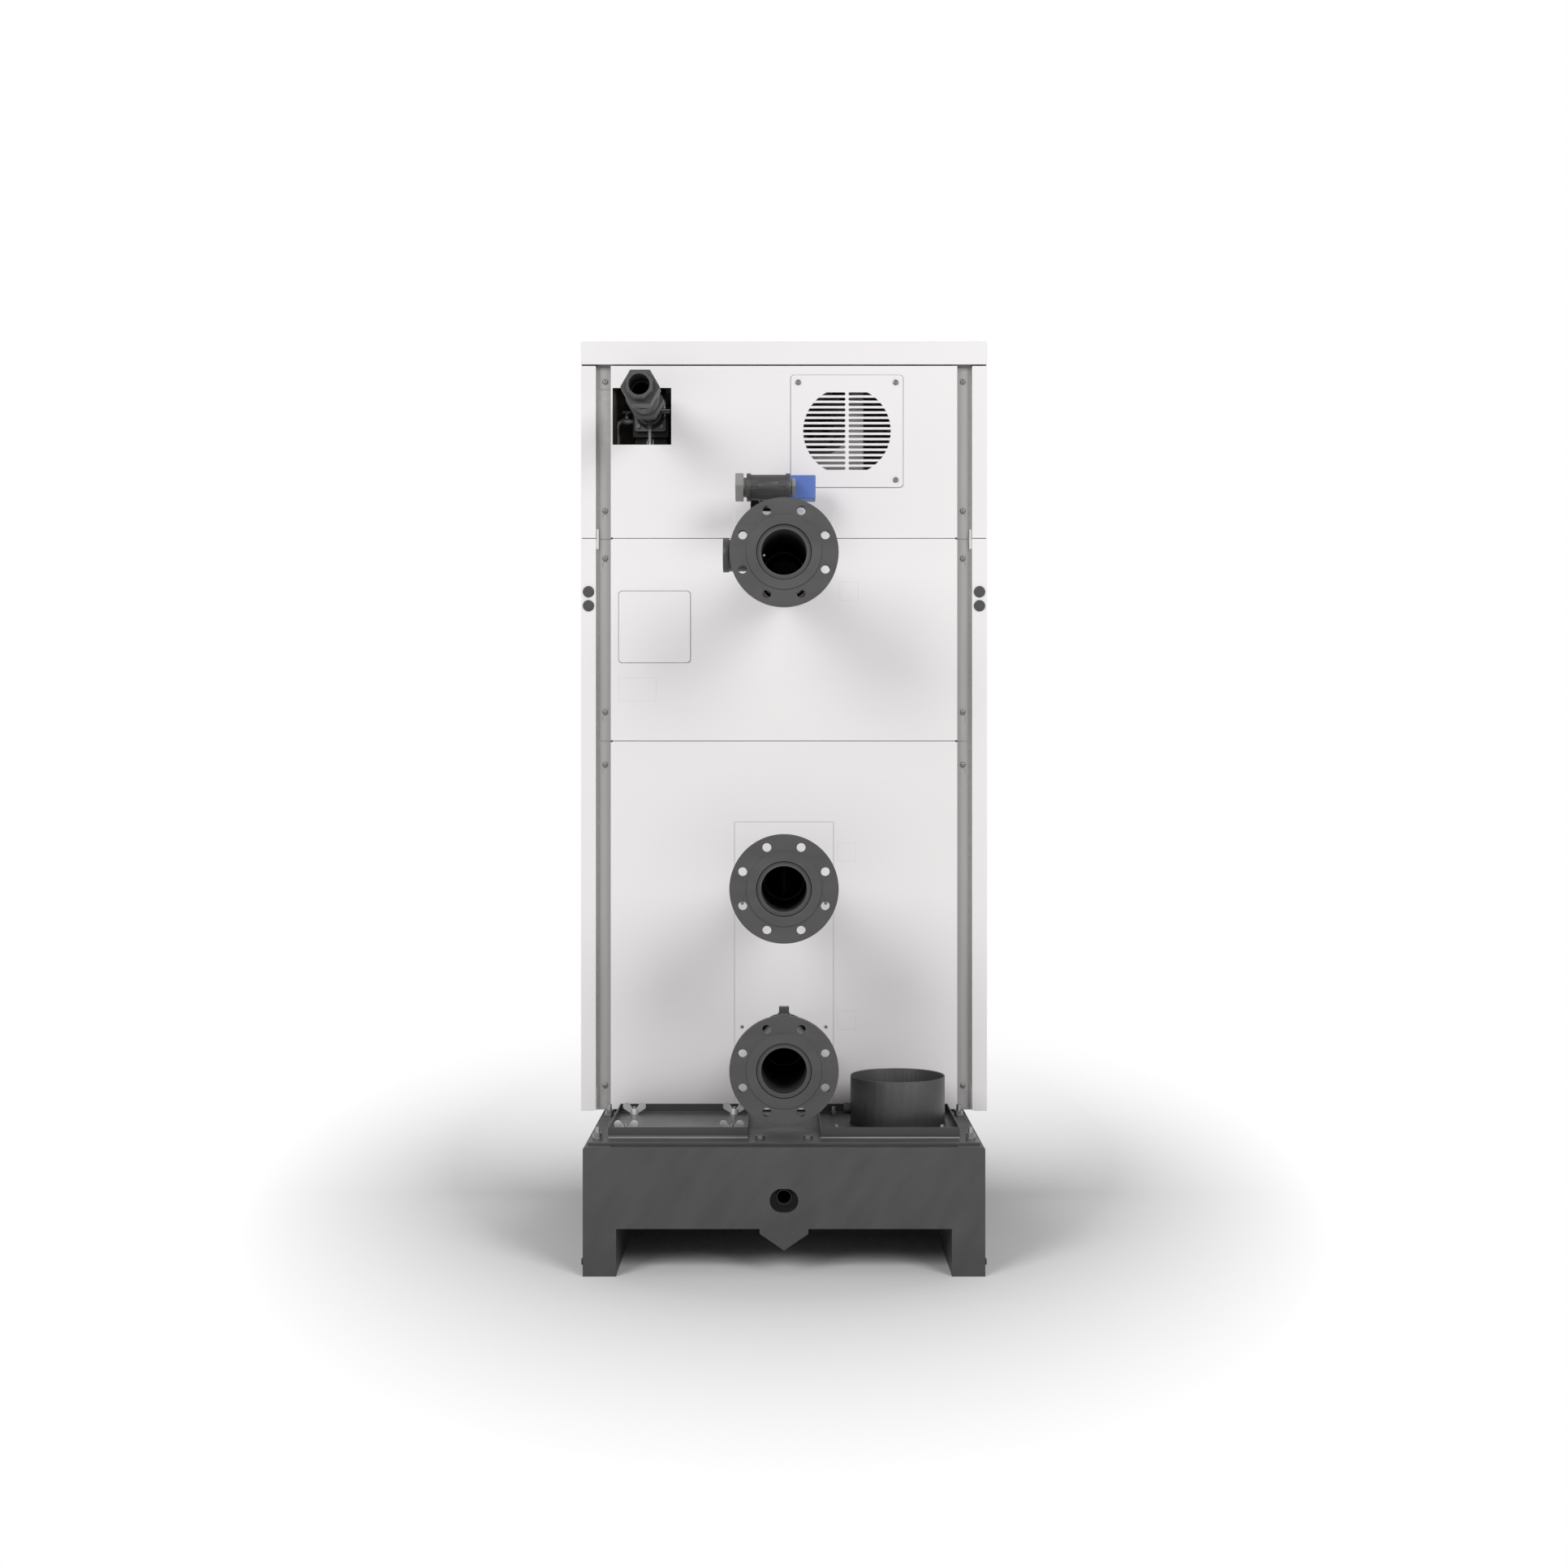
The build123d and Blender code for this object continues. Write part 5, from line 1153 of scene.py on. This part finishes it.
def add_area_light(name, side):
    """A square soft light on one side of the camera, aimed at the boiler."""
    data = bpy.data.lights.new(name, "AREA")
    data.shape = "SQUARE"
    data.size = light_size
    data.energy = light_power
    x, y, z = light_place
    light = bpy.data.objects.new(name, data)
    light.location = (side * x, y, z)
    aim = Vector(light_target) - light.location
    light.rotation_euler = aim.to_track_quat("-Z", "Y").to_euler()
    bpy.context.scene.collection.objects.link(light)


def math_node(owner, operation, first, second):
    """The result of two values, each a plain number or another node's output."""
    tree = owner.node_tree
    node = tree.nodes.new("ShaderNodeMath")
    node.operation = operation
    for entry, value in zip(node.inputs, (first, second)):
        if isinstance(value, float):
            entry.default_value = value
        else:
            tree.links.new(value, entry)
    return node.outputs["Value"]


def floor_fade(material):
    """How far the floor has melted into the background: nought by the boiler and one far off."""
    tree = material.node_tree
    oval = tree.nodes.new("ShaderNodeMapping")
    oval.vector_type = "TEXTURE"
    oval.inputs["Location"].default_value = (0, fade_middle_y, 0)
    oval.inputs["Scale"].default_value = (*fade_reach, 1)
    length = tree.nodes.new("ShaderNodeVectorMath")
    length.operation = "LENGTH"
    tree.links.new(object_place(material), oval.inputs["Vector"])
    tree.links.new(oval.outputs["Vector"], length.inputs[0])
    near = ranged(material, length.outputs["Value"], 1, 0, *fade_ring)
    beyond = ranged(material, along(material, "Y"), 0, floor_radius, far_fade_y, far_fade_y - floor_radius)
    far = math_node(material, "POWER", far_fade_share, beyond)
    return ranged(material, math_node(material, "MULTIPLY", near, far), 1, 0, 0, 1)


def add_floor():
    """A pale floor that melts into the white background round the boiler and far beyond it."""
    mesh = bpy.data.meshes.new("floor")
    shape = bmesh.new()
    bmesh.ops.create_circle(shape, cap_ends=True, segments=96, radius=floor_radius)
    shape.to_mesh(mesh)
    shape.free()
    floor = bpy.data.objects.new("floor", mesh)
    bpy.context.scene.collection.objects.link(floor)
    material = new_material("floor", floor_white, roughness=0.9)
    shader_of(material).inputs["Specular IOR Level"].default_value = 0
    tree = material.node_tree
    glow = tree.nodes.new("ShaderNodeEmission")
    blend = tree.nodes.new("ShaderNodeMixShader")
    tree.links.new(floor_fade(material), blend.inputs["Fac"])
    tree.links.new(shader_of(material).outputs["BSDF"], blend.inputs[1])
    tree.links.new(glow.outputs["Emission"], blend.inputs[2])
    tree.links.new(blend.outputs["Shader"], tree.nodes["Material Output"].inputs["Surface"])
    mesh.materials.append(material)


def add_world():
    """White to the camera and in gloss and glass, and a plain grey of one level as light."""
    world = bpy.data.worlds.new("world")
    world.use_nodes = True
    bpy.context.scene.world = world
    tree = world.node_tree
    background = tree.nodes["Background"]
    background.inputs["Color"].default_value = (1, 1, 1, 1)
    path = tree.nodes.new("ShaderNodeLightPath")
    seen = path.outputs["Is Camera Ray"]
    for kind in ("Is Glossy Ray", "Is Transmission Ray"):
        seen = math_node(world, "MAXIMUM", seen, path.outputs[kind])
    mapped = tree.nodes.new("ShaderNodeMapRange")
    mapped.inputs["To Min"].default_value = world_level
    mapped.inputs["To Max"].default_value = 1
    tree.links.new(seen, mapped.inputs["Value"])
    tree.links.new(mapped.outputs["Result"], background.inputs["Strength"])


dress_nodes()
add_panel_screws()
add_base_bolts()
add_raised_plate()
add_shadow_line("raised_plate_shadow_line", raised_plate_x, raised_plate_z)
add_shadow_line("grille_shadow_line", (grille_low.x, grille_high.x), (grille_low.z, grille_high.z))
add_shadow_line("insert_shadow_line", (insert_low.x, insert_high.x), (insert_low.z, insert_high.z), insert_shadow_line,
         shadow_line_width)
add_films()
add_impulse_tube()
add_plate_screws()
add_valve_pins()
add_test_point()
add_window_lining()
add_post_shade()
add_fan_shroud()
add_relief_plugs()
add_bore_scale()
add_sensor_tip()
add_pipe_welds()
add_flue_beads()
add_control_frames()
add_screen()
add_knob_pointer()
add_control_marks()
add_camera()
add_world()
add_floor()
for side, name in ((1, "left_light"), (-1, "right_light")):
    add_area_light(name, side)

bpy.context.scene.view_settings.view_transform = "Standard"
